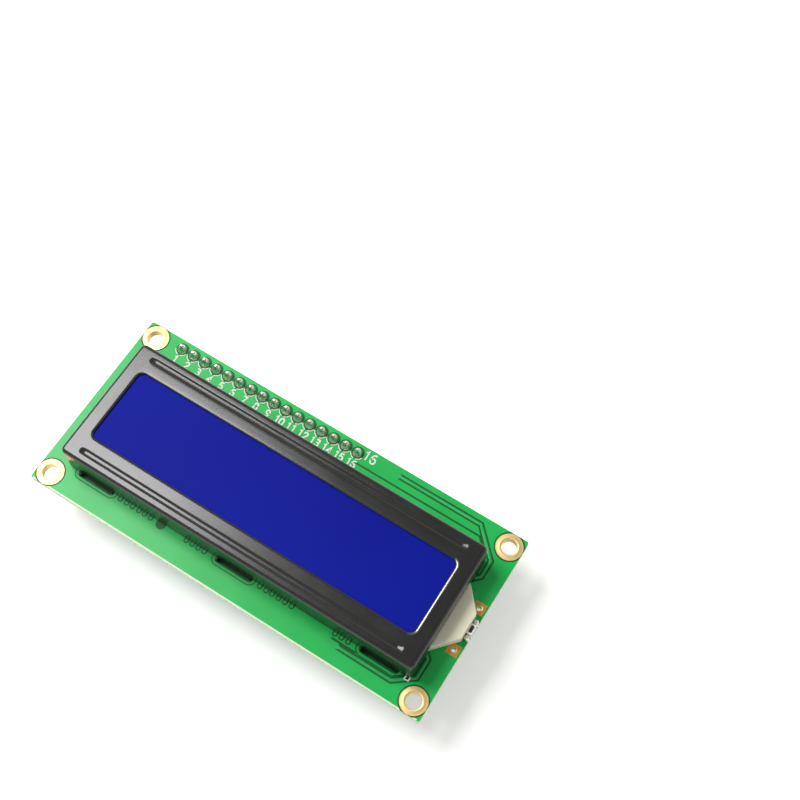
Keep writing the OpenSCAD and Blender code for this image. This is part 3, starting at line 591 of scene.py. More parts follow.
def bevel(piece, width, segments=2, angle=35):
    """Rounds the piece's sharp edges, by a width in millimetres."""
    cut = piece.modifiers.new("Rounded edges", "BEVEL")
    cut.width = width * MM
    cut.segments = segments
    cut.limit_method = "ANGLE"
    cut.angle_limit = math.radians(angle)
    cut.harden_normals = True
    piece.data.polygons.foreach_set("use_smooth", np.ones(len(piece.data.polygons), bool))
    return piece


def node_shape(node):
    """A CAD node's mesh as a shape: its loose triangles merged at points closer than a micrometre."""
    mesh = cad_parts[node].data
    points = np.zeros(len(mesh.vertices) * 3)
    mesh.vertices.foreach_get("co", points)
    corners = np.zeros(len(mesh.loops), np.int64)
    mesh.loops.foreach_get("vertex_index", corners)
    points, index = np.unique(np.round(points.reshape(-1, 3) / MM, 3), axis=0, return_inverse=True)
    triangles = index.ravel()[corners].reshape(-1, 3)
    whole = (triangles != np.roll(triangles, 1, 1)).all(1)
    return points, [triangles[whole]]


def solids(node):
    """Lowest and highest corners of each separate solid of a CAD node: every point takes the smallest label
    among its triangles until nothing changes. Sorted by X, then Y."""
    points, (triangles,) = node_shape(node)
    label = np.arange(len(points))
    while True:
        lowest = label.copy()
        np.minimum.at(lowest, triangles, label[triangles].min(1)[:, None])
        lowest = lowest[lowest]
        if (lowest == label).all():
            break
        label = lowest
    boxes = [(points[label == one].min(0), points[label == one].max(0)) for one in np.unique(label)]
    return sorted(boxes, key=lambda box: tuple(np.round(box[0] + box[1], 2)))


def middles(node):
    """Middle of each separate solid of a CAD node."""
    return np.array([(low + high) / 2 for low, high in solids(node)])


def dress(node, material):
    """Gives a CAD node whose shape is right its material."""
    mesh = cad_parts[node].data
    mesh.materials.clear()
    mesh.materials.append(finish(material))


def rounded_copy(node, name, material, width, body="module"):
    """A merged copy of a CAD node, flat faces made whole and sharp edges rounded, standing for the node."""
    piece = add_piece(name, node_shape(node), material, body, stands_for=(node,))
    work = bmesh.new()
    work.from_mesh(piece.data)
    bmesh.ops.dissolve_limit(work, angle_limit=math.radians(2), verts=work.verts, edges=work.edges)
    bmesh.ops.recalc_face_normals(work, faces=work.faces)
    work.to_mesh(piece.data)
    work.free()
    return bevel(piece, width)


# ---- printed and etched artwork ----

# Strokes of the figures and signs, in a cell one high
STROKES = {
    "0": [[(.3, 1), (.1, .9), (.02, .7), (.02, .3), (.1, .1), (.3, 0), (.5, .1), (.58, .3), (.58, .7),
           (.5, .9), (.3, 1)]],
    "1": [[(.1, .78), (.34, 1), (.34, 0)]],
    "2": [[(.04, .76), (.1, .92), (.3, 1), (.5, .92), (.56, .74), (.48, .52), (.04, 0), (.6, 0)]],
    "3": [[(.05, .86), (.15, .97), (.3, 1), (.48, .93), (.54, .76), (.46, .59), (.26, .54), (.48, .49),
           (.57, .28), (.5, .09), (.3, 0), (.12, .04), (.03, .16)]],
    "4": [[(.44, 0), (.44, 1), (.02, .3), (.6, .3)]],
    "5": [[(.53, 1), (.11, 1), (.07, .56), (.28, .63), (.48, .55), (.57, .32), (.49, .08), (.28, 0),
           (.03, .12)]],
    "6": [[(.5, .93), (.33, 1), (.13, .87), (.03, .56), (.04, .24), (.14, .06), (.32, 0), (.5, .08),
           (.57, .3), (.49, .52), (.3, .59), (.12, .52), (.04, .34)]],
    "7": [[(.03, 1), (.57, 1), (.24, 0)]],
    "8": [[(.3, 1), (.48, .94), (.54, .76), (.46, .6), (.3, .54), (.14, .6), (.06, .76), (.12, .94), (.3, 1)],
          [(.3, .54), (.5, .46), (.58, .26), (.5, .07), (.3, 0), (.1, .07), (.02, .26), (.1, .46),
           (.3, .54)]],
    "9": [[(.1, .07), (.27, 0), (.47, .13), (.57, .44), (.56, .76), (.46, .94), (.28, 1), (.1, .92),
           (.03, .7), (.11, .48), (.3, .41), (.48, .48), (.56, .66)]],
    "+": [[(.3, .15), (.3, .85)], [(-.05, .5), (.65, .5)]],
}


def figures(text, x, y, height, stroke, ink):
    """A short run of figures centred on a place, each stroke a raised ribbon of ink."""
    paths = []
    for i, sign in enumerate(text):
        left = (0.78 * (i - len(text) / 2) + 0.09) * height
        paths += [np.array(line) * height + (left, -height / 2) for line in STROKES[sign]]
    return moved(lines(paths, stroke, ink), (x, y))


def slot_outline(width):
    """Outline of a tab's slot: as long as the tab along X, with round ends of the given width."""
    reach = BEZEL["tab_w"] / 2
    return np.concatenate([arc(reach, 0, width / 2, -90, 90, 8), arc(-reach, 0, width / 2, 90, 270, 8)])


def slot_rings(outer, inner, height, places):
    """Flat rings round the tabs' slots, between two widths."""
    return copies(washer(slot_outline(outer), slot_outline(inner), 0, height), places)


def lamp_hole_places():
    """Places of the two lamp wire holes on the front face: one tail width outside the lamp's solder."""
    joints = middles("lamp_solder")[:, :2]
    x, y = joints.mean(0) - (0.9, 0)
    reach = np.ptp(joints[:, 1]) / 2 + 2.65
    return [(x, y + reach), (x, y - reach)]


def slot_places():
    """Middles of the tabs' slots, from the light guide's centre line and the pitch of the tabs."""
    low, high = spot("front_glass")
    x, y, _ = (low + high) / 2
    reach = (high - low)[1] / 2 + 0.3 + BEZEL["sheet"] / 2 + 0.25
    return [(x + i * BEZEL["tab_pitch"], y + sign * reach) for sign in (1, -1) for i in (-1, 0, 1)]


# ---- sizes and colours that a user would change ----

def length(name, description, size):
    """A length that a user can set, given in millimetres and kept in metres."""
    return FloatProperty(name=name, description=description, default=size * MM, min=0.0, unit="LENGTH",
                         precision=6)


class DisplaySizes(bpy.types.PropertyGroup):
    """Sizes of what is added to the CAD model, in metres."""

    film_lap: length("Film lap", "How far the polariser reaches past the window", 1.1)
    window_radius: length("Window corner", "Radius of the window's corners", 1.2)
    window_roll: length("Window edge roll", "Width of the punched edge's rounding", 0.5)
    copper_height: length("Copper height", "How far copper stands above its board", 0.035)
    ink_height: length("Ink height", "Height of the printed legend above its board", 0.05)
    figure_height: length("Figure height", "Height of the pin numbers", 1.3)
    ring_radius: length("Gold ring radius", "Outer radius of the rings at the corner holes", 2.45)
    floor_drop: length("Floor drop", "Gap between the lowest point and the floor", 0.02)


class DisplayStage(bpy.types.PropertyGroup):
    """Floor, lights and camera."""

    floor_colour: FloatVectorProperty(name="Floor", description="Colour of the floor", subtype="COLOR",
                                      size=4, default=linear("#f8f8f6"), min=0.0, max=1.0)
    sky_level: FloatProperty(name="Room light", description="Strength of the light from all round", min=0.0,
                             default=0.42)
    ceiling_level: FloatProperty(name="Ceiling", description="How bright the ceiling shows in shiny surfaces",
                                 default=0.3, min=0.0)
    wall_level: FloatProperty(name="Walls", description="How bright the walls show in shiny surfaces",
                              default=0.75, min=0.0)
    softbox_power: FloatProperty(name="Softbox power", description="Power of the large lamp", default=1.08,
                                 min=0.0, unit="POWER")
    softbox_distance: FloatProperty(name="Softbox distance", description="Distance of the large lamp",
                                    default=0.36, min=0.1, unit="LENGTH")
    lens: FloatProperty(name="Lens", description="Focal length of the camera", default=59.53, min=1.0,
                        unit="CAMERA")


# ---- pieces ----

def bezel_ring(width, height, r, along, across, steps=6):
    """Rectangle with round corners as a closed line of points, anticlockwise from the lower left; along and
    across are the shares, from 0 to 1, at which its long and short sides have points."""
    x, y = width / 2 - r, height / 2 - r
    a = np.radians(np.linspace(0, 90, steps + 1)[1:-1])
    parts = []
    for (x0, y0), (x1, y1), shares, (cx, cy), start in (
            ((-x, -y - r), (x, -y - r), along, (x, -y), -90), ((x + r, -y), (x + r, y), across, (x, y), 0),
            ((x, y + r), (-x, y + r), along, (-x, y), 90),
            ((-x - r, y), (-x - r, -y), across, (-x, -y), 180)):
        parts.append(np.stack([x0 + (x1 - x0) * shares, y0 + (y1 - y0) * shares], 1))
        s = math.radians(start)
        parts.append(np.stack([cx + r * np.cos(a + s), cy + r * np.sin(a + s)], 1))
    return np.concatenate(parts)


def smooth_step(t):
    """0 below 0, 1 above 1, and 3t^2 - 2t^3 between."""
    t = np.clip(t, 0, 1)
    return t * t * (3 - 2 * t)


def bezel_shape(film_lap, window_r, roll):
    """Outer skin of the folded bezel on a grid: one direction runs round it, the other from the window's edge
    over the face and the fold, down the wall and on into the tabs. The face sinks by a smooth step along the
    two pressed grooves, and each tab's points turn about its pivot as they go down."""
    low, high = spot("bezel")
    glass_low, glass_high = spot("front_glass")
    film_low, film_high = spot("front_polarizer")
    guide, _ = node_shape("light_guide")
    centre, glass = (glass_low + glass_high) / 2, glass_high - glass_low
    b, wide = BEZEL, high[0] - low[0]
    tall = wide - glass[0] + glass[1]
    view = (film_high - film_low)[:2] - 2 * film_lap
    tip = guide[guide[:, 0] > guide[:, 0].max() - 0.01]
    root = guide[guide[:, 2] > guide[:, 2].max() - 0.01][:, 0].max()
    tip_half = np.ptp(tip[:, 1]) / 2
    slope = (np.ptp(guide[:, 1]) / 2 - tip_half) / (guide[:, 0].max() - root)
    notch = tip_half + slope * (guide[:, 0].max() - centre[0] - wide / 2 + 1.5 * b["sheet"]) + NOTCH_PLAY
    notch_top = tip[:, 2].max() + NOTCH_PLAY

    reach = wide / 2 - b["corner"]
    tabs = np.array([-b["tab_pitch"], 0, b["tab_pitch"]])
    edges = np.concatenate([tabs - b["tab_w"] / 2, tabs + b["tab_w"] / 2])
    ends = np.linspace(b["groove_l"] / 2 - 1.4, b["groove_l"] / 2 + 1.5, 40)
    x = np.concatenate([np.linspace(-reach, reach, 120), edges, ends, -ends])
    along = (np.unique(np.round(x, 3)) / reach + 1) / 2
    side = tall / 2 - b["corner"]
    y = np.concatenate([np.linspace(-side, side, 24), [-notch, notch]])
    across = (np.unique(np.round(y, 3)) / side + 1) / 2

    rows, z = [], []
    for share in np.linspace(0, 1, ROLL_STEPS + 1)[:-1]:
        e = share * roll
        rows.append(bezel_ring(view[0] + 2 * e, view[1] + 2 * e, window_r + e, along, across))
        z.append(high[2] - ROLL_DEPTH * roll * (1 - math.sqrt(1 - (1 - share) ** 2)))
    inner = bezel_ring(view[0] + 2 * roll, view[1] + 2 * roll, window_r + roll, along, across)
    outer = bezel_ring(wide - 2 * b["fold"], tall - 2 * b["fold"], b["corner"] - b["fold"], along, across)
    for share in np.concatenate([[0, 0.15, 0.3, 0.42], np.linspace(0.48, 0.95, 22)]):
        rows.append(inner + (outer - inner) * share)
        z.append(high[2])
    for angle in np.radians(np.linspace(0, 90, 9)):
        d = b["fold"] * (1 - math.sin(angle))
        rows.append(bezel_ring(wide - 2 * d, tall - 2 * d, b["corner"] - d, along, across))
        z.append(high[2] - b["fold"] * (1 - math.cos(angle)))
    wall = bezel_ring(wide, tall, b["corner"], along, across)
    for level in (5.0, 4.0, notch_top, 1.5, 0.01):
        rows.append(wall)
        z.append(level)
    last_wall = len(rows) - 1
    hang = BOARD_LOW[2] - b["root"]
    for level in (BOARD_LOW[2], hang, *np.linspace(hang, low[2], 7)[1:]):
        rows.append(wall)
        z.append(level)
    points = np.stack([lifted(ring, level) for ring, level in zip(rows, z)])

    line = (b["groove_l"] - b["groove_w"]) / 2
    off_x = np.maximum(np.abs(points[..., 0]) - line, 0)
    off_y = np.abs(points[..., 1]) - (glass[1] - b["ledge"]) / 2
    away = np.hypot(off_x, off_y)
    on_face = (points[..., 2] > high[2] - 0.001)
    run_out = 1 - smooth_step((np.abs(points[..., 0]) - line + 0.8) / 1.5)
    dip = b["groove_d"] * run_out * (1 - smooth_step((away - 0.2) / (b["groove_w"] / 2 - 0.18)))
    points[..., 2] -= np.where(on_face, dip, 0)

    share = np.clip((hang - points[..., 2]) / (hang - low[2]), 0, 1)
    sign = np.sign(points[..., 1])
    nearest = tabs[np.abs(points[..., 0, None] * sign[..., None] - tabs).argmin(-1)]
    pivot_x = (nearest - 0.2 * b["tab_w"]) * sign
    pivot_y = (tall / 2 - b["sheet"] / 2) * sign
    turn = -np.radians(b["twist"]) * share
    dx, dy = points[..., 0] - pivot_x, points[..., 1] - pivot_y
    points[..., 0] = pivot_x + dx * np.cos(turn) - dy * np.sin(turn)
    points[..., 1] = pivot_y + dx * np.sin(turn) + dy * np.cos(turn)

    n = len(wall)
    faces = grid_faces(len(rows), n, wrap_columns=True)[:, ::-1]
    row = faces.min(1) // n
    mid = points.reshape(-1, 3)[faces].mean(1)
    start = wall[faces % n].mean(1)
    in_tab = (np.abs(start[:, 0, None] - tabs) < b["tab_w"] / 2).any(1)
    in_tab &= np.abs(start[:, 1]) > tall / 2 - 0.01
    in_notch = (start[:, 0] > wide / 2 - 0.01) & (np.abs(start[:, 1]) < notch) & (mid[:, 2] < notch_top)
    keep = np.where(row < last_wall, ~in_notch, in_tab)
    used, index = np.unique(faces[keep], return_inverse=True)
    index = index.reshape(-1, 4)
    # the rolled window edge on the right side only, which takes the painted highlight
    highlit_edge = ((row < ROLL_STEPS) & (mid[:, 0] > view[0] / 2 - 0.7))[keep]
    return points.reshape(-1, 3)[used] + (centre[0], centre[1], 0), [index[highlit_edge], index[~highlit_edge]]


class AddBezel(bpy.types.Operator):
    """Replaces the bezel by a smooth folded sheet with grooves, a rolled window edge and twisted tabs"""

    bl_idname = "display_module.add_bezel"
    bl_label = "Bezel"

    def execute(self, context):
        sizes = context.scene.display_sizes
        shape = bezel_shape(sizes.film_lap / MM, sizes.window_radius / MM, sizes.window_roll / MM)
        piece = add_piece("bezel_sheet", shape, "black_baked_lacquer", smooth=60,
                          stands_for=("bezel",))
        # painted highlight: the right side of the window's rolled edge gets a paler, shinier metal
        piece.data.materials.append(finish("rubbed_lacquer_edge"))
        highlit_edge = np.arange(len(piece.data.polygons)) < len(shape[1][0])
        piece.data.polygons.foreach_set("material_index", highlit_edge.astype(np.int32))
        sheet = piece.modifiers.new("Sheet", "SOLIDIFY")
        sheet.thickness = BEZEL["sheet"] * MM
        sheet.offset = -1
        sheet.use_even_offset = True
        bevel(piece, 0.05, 2, 50)
        return {"FINISHED"}


class DressBoards(bpy.types.Operator):
    """Gives both boards their solder mask and cut edges, and plates the holes"""

    bl_idname = "display_module.dress_boards"
    bl_label = "Boards and plated holes"

    def execute(self, context):
        sizes = context.scene.display_sizes
        dress("main_board", "green_solder_mask_board")
        dress("interface_board", "black_solder_mask_board")
        up, thick = sizes.copper_height / MM, BOARD_HIGH[2] - BOARD_LOW[2]
        r, bore = sizes.ring_radius / MM, HOLE_RADIUS
        corners = oblong(*seen_box(BOARD_LOW, BOARD_HIGH, -HOLE_INSET))
        face = [(bore - 0.05, up), (bore, up + 0.02), (bore + 0.28, up + 0.03), (bore + 0.4, up),
                (r - 0.05, up), (r, 0)]
        wall = [(r, -0.02), (bore + 0.02, -0.02), (bore + 0.02, 0.02 - thick), (r, 0.02 - thick)]
        profile = face + wall + [(radius, -thick - z) for radius, z in face[::-1]]
        rings = copies(lathe(profile, 64, closed=True), corners)
        add_piece("corner_hole_plating", on_front(rings), "pale_immersion_gold", smooth=30)
        bands = []
        for place in corners:
            outline = np.clip(circle(r + 0.25, 64) + place, BOARD_LOW[:2], BOARD_HIGH[:2])
            band = washer(outline, circle(r, 64) + place, 0, 0.01)
            bands += [on_front(band), on_back(band)]
        add_piece("corner_hole_bands", joined(bands), "green_mask_over_etched_gap")
        return {"FINISHED"}


class DressDisplay(bpy.types.Operator):
    """Gives the glass cell, its films and the rubber strips their finishes"""

    bl_idname = "display_module.dress_display"
    bl_label = "Glass cell and films"

    def execute(self, context):
        for nodes, material in (
                (("front_polarizer", "rear_polarizer"), "blue_antiglare_polariser"),
                (("front_glass", "rear_glass"), "soda_lime_glass_edge"),
                (("cell_seal", "diffuser_film", "reflector_film"), "white_polyester_film"),
                (("upper_contact_strip", "lower_contact_strip"), "layered_silicone_rubber")):
            for node in nodes:
                dress(node, material)
        return {"FINISHED"}


class AddBacklight(bpy.types.Operator):
    """Rounds the light guide's edges and adds the lamp with its window and its solder"""

    bl_idname = "display_module.add_backlight"
    bl_label = "Light guide and lamp"

    def execute(self, context):
        rounded_copy("light_guide", "light_guide_block", "milky_acrylic", 0.18)
        rounded_copy("backlight_lamp", "lamp_body", "cast_lamp_resin", 0.12)
        low, high = spot("backlight_lamp")
        h = high[2]
        window = slab(oblong(low[0] + 0.2, high[0] - 0.2, low[1] + 0.35, high[1] - 0.35, 0.15), 0.03, 0.01)
        add_piece("lamp_window", moved(window, (0, 0, h - 0.005)), "black_moulded_epoxy")
        drop = [(0.56, 0), (0.52, 0.15), (0.49, 0.5), (0.5, 0.95 * h - 0.5), (0.46, h - 0.3), (0.33, h - 0.1),
                (0.15, h - 0.01), (0.03, h)]
        places = middles("lamp_solder")[:, :2]
        add_piece("lamp_solder_drops", copies(lathe(drop, 28), places), "soft_solder", smooth=60,
                  stands_for=("lamp_solder",))
        return {"FINISHED"}


class AddPinRow(bpy.types.Operator):
    """Adds the pins of the long row, their plastic and the solder on both boards"""

    bl_idname = "display_module.add_pin_row"
    bl_label = "Pin row and its solder"

    def execute(self, context):
        pins = solids("row_header_pins")
        (low, high), places = pins[0], middles("row_header_pins")[:, :2]
        width = high[0] - low[0]
        row = copies(pin_shape(low[2], high[2], width), places)
        add_piece("row_pins", row, "tin_plate", smooth=30, stands_for=("row_header_pins",))
        rounded_copy("row_header_base", "row_header_plastic", "glass_filled_nylon", 0.1)
        for node, name, face, sign in (("front_joints", "row_joints_front", on_front, 1),
                                       ("rear_joints", "row_joints_rear", on_pack, -1)):
            low, high = solids(node)[0]
            one = joint_shape((high[0] - low[0]) / 2, high[2] - low[2], width * 0.66)
            add_piece(name, face(copies(one, places * (sign, 1))), "soft_solder", smooth=60,
                      stands_for=(node,))
        return {"FINISHED"}


def bent_pins(node, way):
    """Bent header pins: up a leg, round a quarter circle and along an arm to a drawn-in tip. The arms run
    along X, to the side that way gives as 1 or -1."""
    shapes, r = [], 0.7
    for low, high in solids(node):
        w = high[1] - low[1]
        y, arm = (low[1] + high[1]) / 2, low[2] + w / 2
        leg, tip = (high[0] - w / 2, low[0]) if way < 0 else (low[0] + w / 2, high[0])
        bend = [(leg + way * r * (1 - math.cos(a)), y, arm + r * (1 - math.sin(a)))
                for a in np.radians(np.linspace(0, 90, 9))]
        path = [(leg, y, high[2]), (leg, y, high[2] - 0.25), *bend, (tip - way * 0.3, y, arm), (tip, y, arm)]
        shapes.append(rod(path, w, w, [TIP, 1, *[1] * len(bend), 1, 0.5]))
    return joined(shapes)


class AddBentHeaders(bpy.types.Operator):
    """Adds the bent headers of the interface board, the jumper, and the solder between the two boards"""

    bl_idname = "display_module.add_bent_headers"
    bl_label = "Bent headers and jumper"

    def execute(self, context):
        for end, way in (("bus", -1), ("jumper", 1)):
            pins, base = end + "_header_pins", end + "_header_base"
            add_piece(end + "_pins", bent_pins(pins, way), "tin_plate", smooth=30,
                      stands_for=(pins,))
            rounded_copy(base, end + "_header_plastic", "glass_filled_nylon", 0.1)
        rounded_copy("jumper_cap", "jumper_cap_shell", "dark_grey_polyester", 0.16, "jumper")
        rounded_copy("jumper_clip", "jumper_contact", "nickel_plated_rotor", 0.05, "jumper")
        cones = []
        for low, high in solids("inner_joints"):
            x, y, _ = (low + high) / 2
            cones.append(moved(joint_shape((high[0] - low[0]) / 2, high[2] - low[2], 0.42), (x, y, low[2])))
        add_piece("inner_joint_cones", joined(cones), "soft_solder", smooth=60,
                  stands_for=("inner_joints",))
        return {"FINISHED"}


class AddTrimmer(bpy.types.Operator):
    """Rounds the trimmer's housing and rotor and adds the marks round the rotor"""

    bl_idname = "display_module.add_trimmer"
    bl_label = "Contrast trimmer"

    def execute(self, context):
        rounded_copy("trimmer_housing", "trimmer_shell", "sky_blue_polyester", 0.18)
        rounded_copy("trimmer_rotor", "trimmer_cross_rotor", "nickel_plated_rotor", 0.07,
                     "rotor")
        rounded_copy("trimmer_pins", "trimmer_legs", "tin_plate", 0.04)
        low, high = spot("trimmer_housing")
        x, y, _ = (low + high) / 2
        ticks = []
        for degrees in range(-50, 211, 26):
            way = np.array([math.cos(math.radians(degrees)), math.sin(math.radians(degrees))])
            ticks.append(ribbon([way * 1.72, way * (2.75 if degrees == 80 else 2.35)], 0.2, 0.03))
        marks = moved(on_back(joined(ticks), low[2] + 0.01), (x, y))
        add_piece("trimmer_marks", marks, "dark_blue_marks")
        return {"FINISHED"}


class AddExpanderChip(bpy.types.Operator):
    """Rounds the chip's body and adds bent leads, their pads and their solder"""

    bl_idname = "display_module.add_expander_chip"
    bl_label = "Expander chip"

    def execute(self, context):
        rounded_copy("expander_chip", "chip_body", "moulded_chip_epoxy", 0.07)
        base, centre, t = PACK_LOW[2], sum(spot("expander_chip"))[0] / 2, 0.22
        leads, pads, fillets = [], [], []
        for low, high in solids("expander_leads"):
            side = 1 if low[0] > centre else -1
            near, far = (low[0], high[0]) if side > 0 else (high[0], low[0])
            y, w, up = (low[1] + high[1]) / 2, high[1] - low[1], low[2] + t / 2
            steps = [(-0.2, up), (0.22, up), (0.34, up + 0.08), (0.42, up + 0.26), (0.55, base - 0.36),
                     (0.62, base - 0.2), (0.75, base - t / 2 - 0.02), (0.95, base - t / 2)]
            path = [(near + side * out, y, z) for out, z in steps] + [(far, y, base - t / 2)]
            leads.append(rod(path, w, t))
            x0, x1 = sorted(-side * (abs(far - centre) + reach) - centre for reach in (-1.0, 0.45))
            pads.append(slab(oblong(x0, x1, y - 0.32, y + 0.32, 0.1, 2), 0.035, 0.01))
            fillets.append(moved(turned(mound(0.42, 0.56, 0.2), 180 if side > 0 else 0), (-far, y, 0.03)))
        add_piece("chip_leads", joined(leads), "tin_plate", smooth=35,
                  stands_for=("expander_leads",))
        add_piece("chip_pads", on_pack(joined(pads)), "tin_plate")
        add_piece("chip_lead_solder", on_pack(joined(fillets)), "soft_solder", smooth=50)
        return {"FINISHED"}


def chip_joints(node):
    """Pads and fillets at both ends of each chip part of a node, in the local X and Y of a back face."""
    pads, fillets = [], []
    for low, high in solids(node):
        size, (x, y, _) = high - low, (low + high) / 2
        quarter = 0 if size[0] > size[1] else 90
        half, width = max(size[:2]) / 2 + 0.35, min(size[:2])
        pad = slab(oblong(half - 0.5, half + 0.62, -width / 2 - 0.12, width / 2 + 0.12, 0.12, 2), 0.04, 0.01)
        fillet = moved(mound(0.5, width, size[2] * 0.75), (half, 0, 0.03))
        for degrees in (quarter, quarter + 180):
            pads.append(moved(turned(pad, degrees), (-x, y)))
            fillets.append(moved(turned(fillet, degrees), (-x, y)))
    return joined(pads), joined(fillets)


class AddSmallParts(bpy.types.Operator):
    """Rounds the small parts of both boards and adds their pads and solder fillets"""

    bl_idname = "display_module.add_small_parts"
    bl_label = "Small parts"

    def execute(self, context):
        for node, name, material, slot in (
                ("interface_resistors", "_bodies", "coated_alumina", "resistor_black"),
                ("board_resistors", "_bodies", "coated_alumina", "resistor_black"),
                ("capacitor", "_body", "tan_fired_ceramic", "capacitor_tan"),
                ("power_lamp", "_body", "cast_lamp_resin", "lamp_resin")):
            part, face = node.rstrip("s"), on_back if node == "board_resistors" else on_pack
            rounded_copy(node, part + name, material, 0.05)
            rounded_copy(part + "_ends", part + "_caps", "tin_plate", 0.07)
            pads, fillets = chip_joints(node)
            add_piece(part + "_pads", face(pads), "tin_plate")
            add_piece(part + "_fillets", face(fillets), "soft_solder", smooth=50)
        rounded_copy("transistor", "transistor_body", "black_moulded_epoxy", 0.08)
        rounded_copy("transistor_leads", "transistor_feet", "tin_plate", 0.03)
        x, y, _ = sum(spot("transistor")) / 2
        fillets = [moved(turned(mound(0.5, 0.6, 0.2), 90 * sign), (off - x, y + sign * 1.1))
                   for off, sign in ((0, 1), (-0.95, -1), (0.95, -1))]
        add_piece("transistor_solder", on_pack(joined(fillets)), "soft_solder", smooth=50)
        return {"FINISHED"}


class AddSealedChips(bpy.types.Operator):
    """Replaces the sealed chips by glossy cured drops, and the soldered option pad by a small one"""

    bl_idname = "display_module.add_sealed_chips"
    bl_label = "Sealed chips"

    def execute(self, context):
        for node, name, seed, material, slot in (
                ("controller_seal", "controller_seal_drop", 1.3, "black_epoxy_compound", "sealing_compound"),
                ("driver_seal", "driver_seal_drop", 3.4, "black_epoxy_compound", "sealing_compound"),
                ("option_link", "option_link_solder", 4.0, "soft_solder", "solder")):
            low, high = spot(node)
            drop = drop_shape((high[0] - low[0]) / 2, high[2] - low[2], seed)
            drop = on_back(moved(drop, (low + high)[:2] / 2 * (-1, 1)))
            add_piece(name, drop, material, smooth=60, stands_for=(node,))
        return {"FINISHED"}


# Etched and printed artwork of the main board. Places are millimetres right and down from the top left corner
# of the face they are on, as it is looked at. Pads and boxes are left, right, top and bottom; a figure is its
# text, its place and its height.
FRONT_TRACES = [[(54.7, 1.6), (71.3, 1.6), (76.1, 6.4), (76.1, 9.6), (75, 10.7)],
                [(61.95, 32.65), (72.5, 32.65), (75.9, 30.1), (75.9, 26.5), (75, 25.6)]]
FRONT_GAPS = [[(46.5, 3.55), (72.2, 3.55), (74.9, 6.3), (74.9, 7.2)], [(60.3, 31.9), (65.2, 31.9)],
              [(72.4, 31.9), (75.1, 29.9)]]
FRONT_VIAS = [(x, 31) for x in (15.9, 17.25, 18.5, 19.9, 21.1, 22.4, 30, 31.25, 32.5, 33.75, 45.25, 46.6,
                                47.75, 49.1, 50.4, 51.75, 60.5, 61.8, 63.1)]
BACK_TRACES = [[(2.5, 13.5), (2.5, 6.9), (5.05, 4.2), (17, 4.2)],
               [(10, 10.4), (7, 10.4), (6.1, 11), (5.9, 15.5), (6.8, 17.1), (8, 17.1)],
               [(24.8, 1.4), (27, 3.4), (31, 3.4)],
               [(15.65, 17.5), (15.65, 32.3), (17.2, 34.2), (73, 34.2), (76.4, 30.6), (76.4, 26.4),
                (75.3, 25), (75.3, 8)],
               [(17.6, 33), (73, 33), (75.5, 30), (75.5, 27), (75, 26.2), (73.6, 26.2)],
               [(16.7, 32), (35.4, 32)], [(56.5, 32), (66, 32)], [(4.7, 35.6), (75.3, 35.6)],
               [(79.6, 4.8), (79.6, 31.2)], [(4.7, 0.42), (75.3, 0.42)], [(7, 26.7), (15.2, 26.7)],
               [(46.2, 30.5), (46.2, 28.4), (47.5, 27.1), (47.5, 26.3)],
               [(47.5, 30.5), (47.5, 27.9), (48.2, 27.2)],
               [(48.8, 30.5), (48.8, 26.4)], [(50, 30.3), (50, 29.6), (49.5, 28.7), (49.5, 27.4)],
               [(13.7, 14.5), (17.2, 14.5), (20.3, 17.4)],
               [(13.7, 15.8), (16.6, 15.8), (18.6, 17.7), (20.2, 17.7)],
               [(13.7, 17.1), (15.9, 17.1), (17.4, 18.5), (20.1, 18.5)],
               [(22.9, 5.35), (24.4, 5.35), (24.8, 1.4)],
               [(60.4, 22), (59.9, 22), (58.8, 23.8)], [(68.9, 20.2), (66.8, 20.2), (65, 22)],
               [(68.9, 22.6), (66.8, 22.6), (64.4, 25)], [(68.9, 25), (67.2, 25), (65.2, 27), (62.4, 27)]]
BACK_POUR = [(20, 29.6), (20, 32), (27, 32), (26.2, 31.5), (26.2, 30.2), (28, 28.1), (21.4, 28.1)]
BACK_VIAS = [(x, 31) for x in (16.7, 18, 19.3, 27, 28.3, 29.6, 30.8, 32.1, 33.4, 46.2, 47.5, 48.8, 50, 57.7,
                               58.9, 60.2, 61.5, 62.8, 64)] + [
    (49.9, 27), (50.9, 26.5), (53.8, 26.4), (58.8, 23.8), (59.5, 24.5), (58.8, 25.2), (59.7, 25.9),
    (24.8, 1.4), (16.6, 20.2), (17.5, 20.9), (18.4, 20.1), (16.9, 22.1), (18, 22.6), (17.2, 23.9),
    (18.5, 24.3), (16.8, 25.4), (18, 26), (17.3, 26.9), (34.6, 26.4), (36.2, 25.4), (38.4, 24.9),
    (43.6, 25.3)]
TAB_PADS = [(7.5, 14.7, 7.2, 9.9), (36.4, 43.6, 7.2, 9.9), (65.4, 72.6, 7.2, 9.9), (7.5, 14.7, 27.4, 30),
            (36.6, 43.9, 27.4, 30), (65.9, 73, 27.5, 30.1)]
PART_PADS = [(7.76, 9.43, 19.9, 22.15), (11.4, 13.04, 19.9, 22.15), (7.76, 9.43, 23.5, 25.7),
             (11.4, 13.04, 23.5, 25.7), (60.65, 62.35, 23.8, 25.4), (63.05, 64.75, 23.8, 25.4),
             *((x - 1, x + 1, y - 0.3, y + 0.3) for x in (7.85, 13.7) for y in (14.5, 15.8, 17.1, 18.4))]
SPLIT_PADS = [(8.1, 12.35), (10.55, 12.35), (12.95, 12.35)]
BACK_BOXES = [(7.15, 13.65, 19.4, 22.6), (7.15, 13.65, 22.9, 26), (60.3, 65.2, 20.8, 23.3),
              (60.3, 65.2, 23.5, 25.8), (68.8, 73.8, 19, 21.3), (68.8, 73.8, 21.4, 23.7),
              (68.8, 73.8, 23.8, 26.1)]
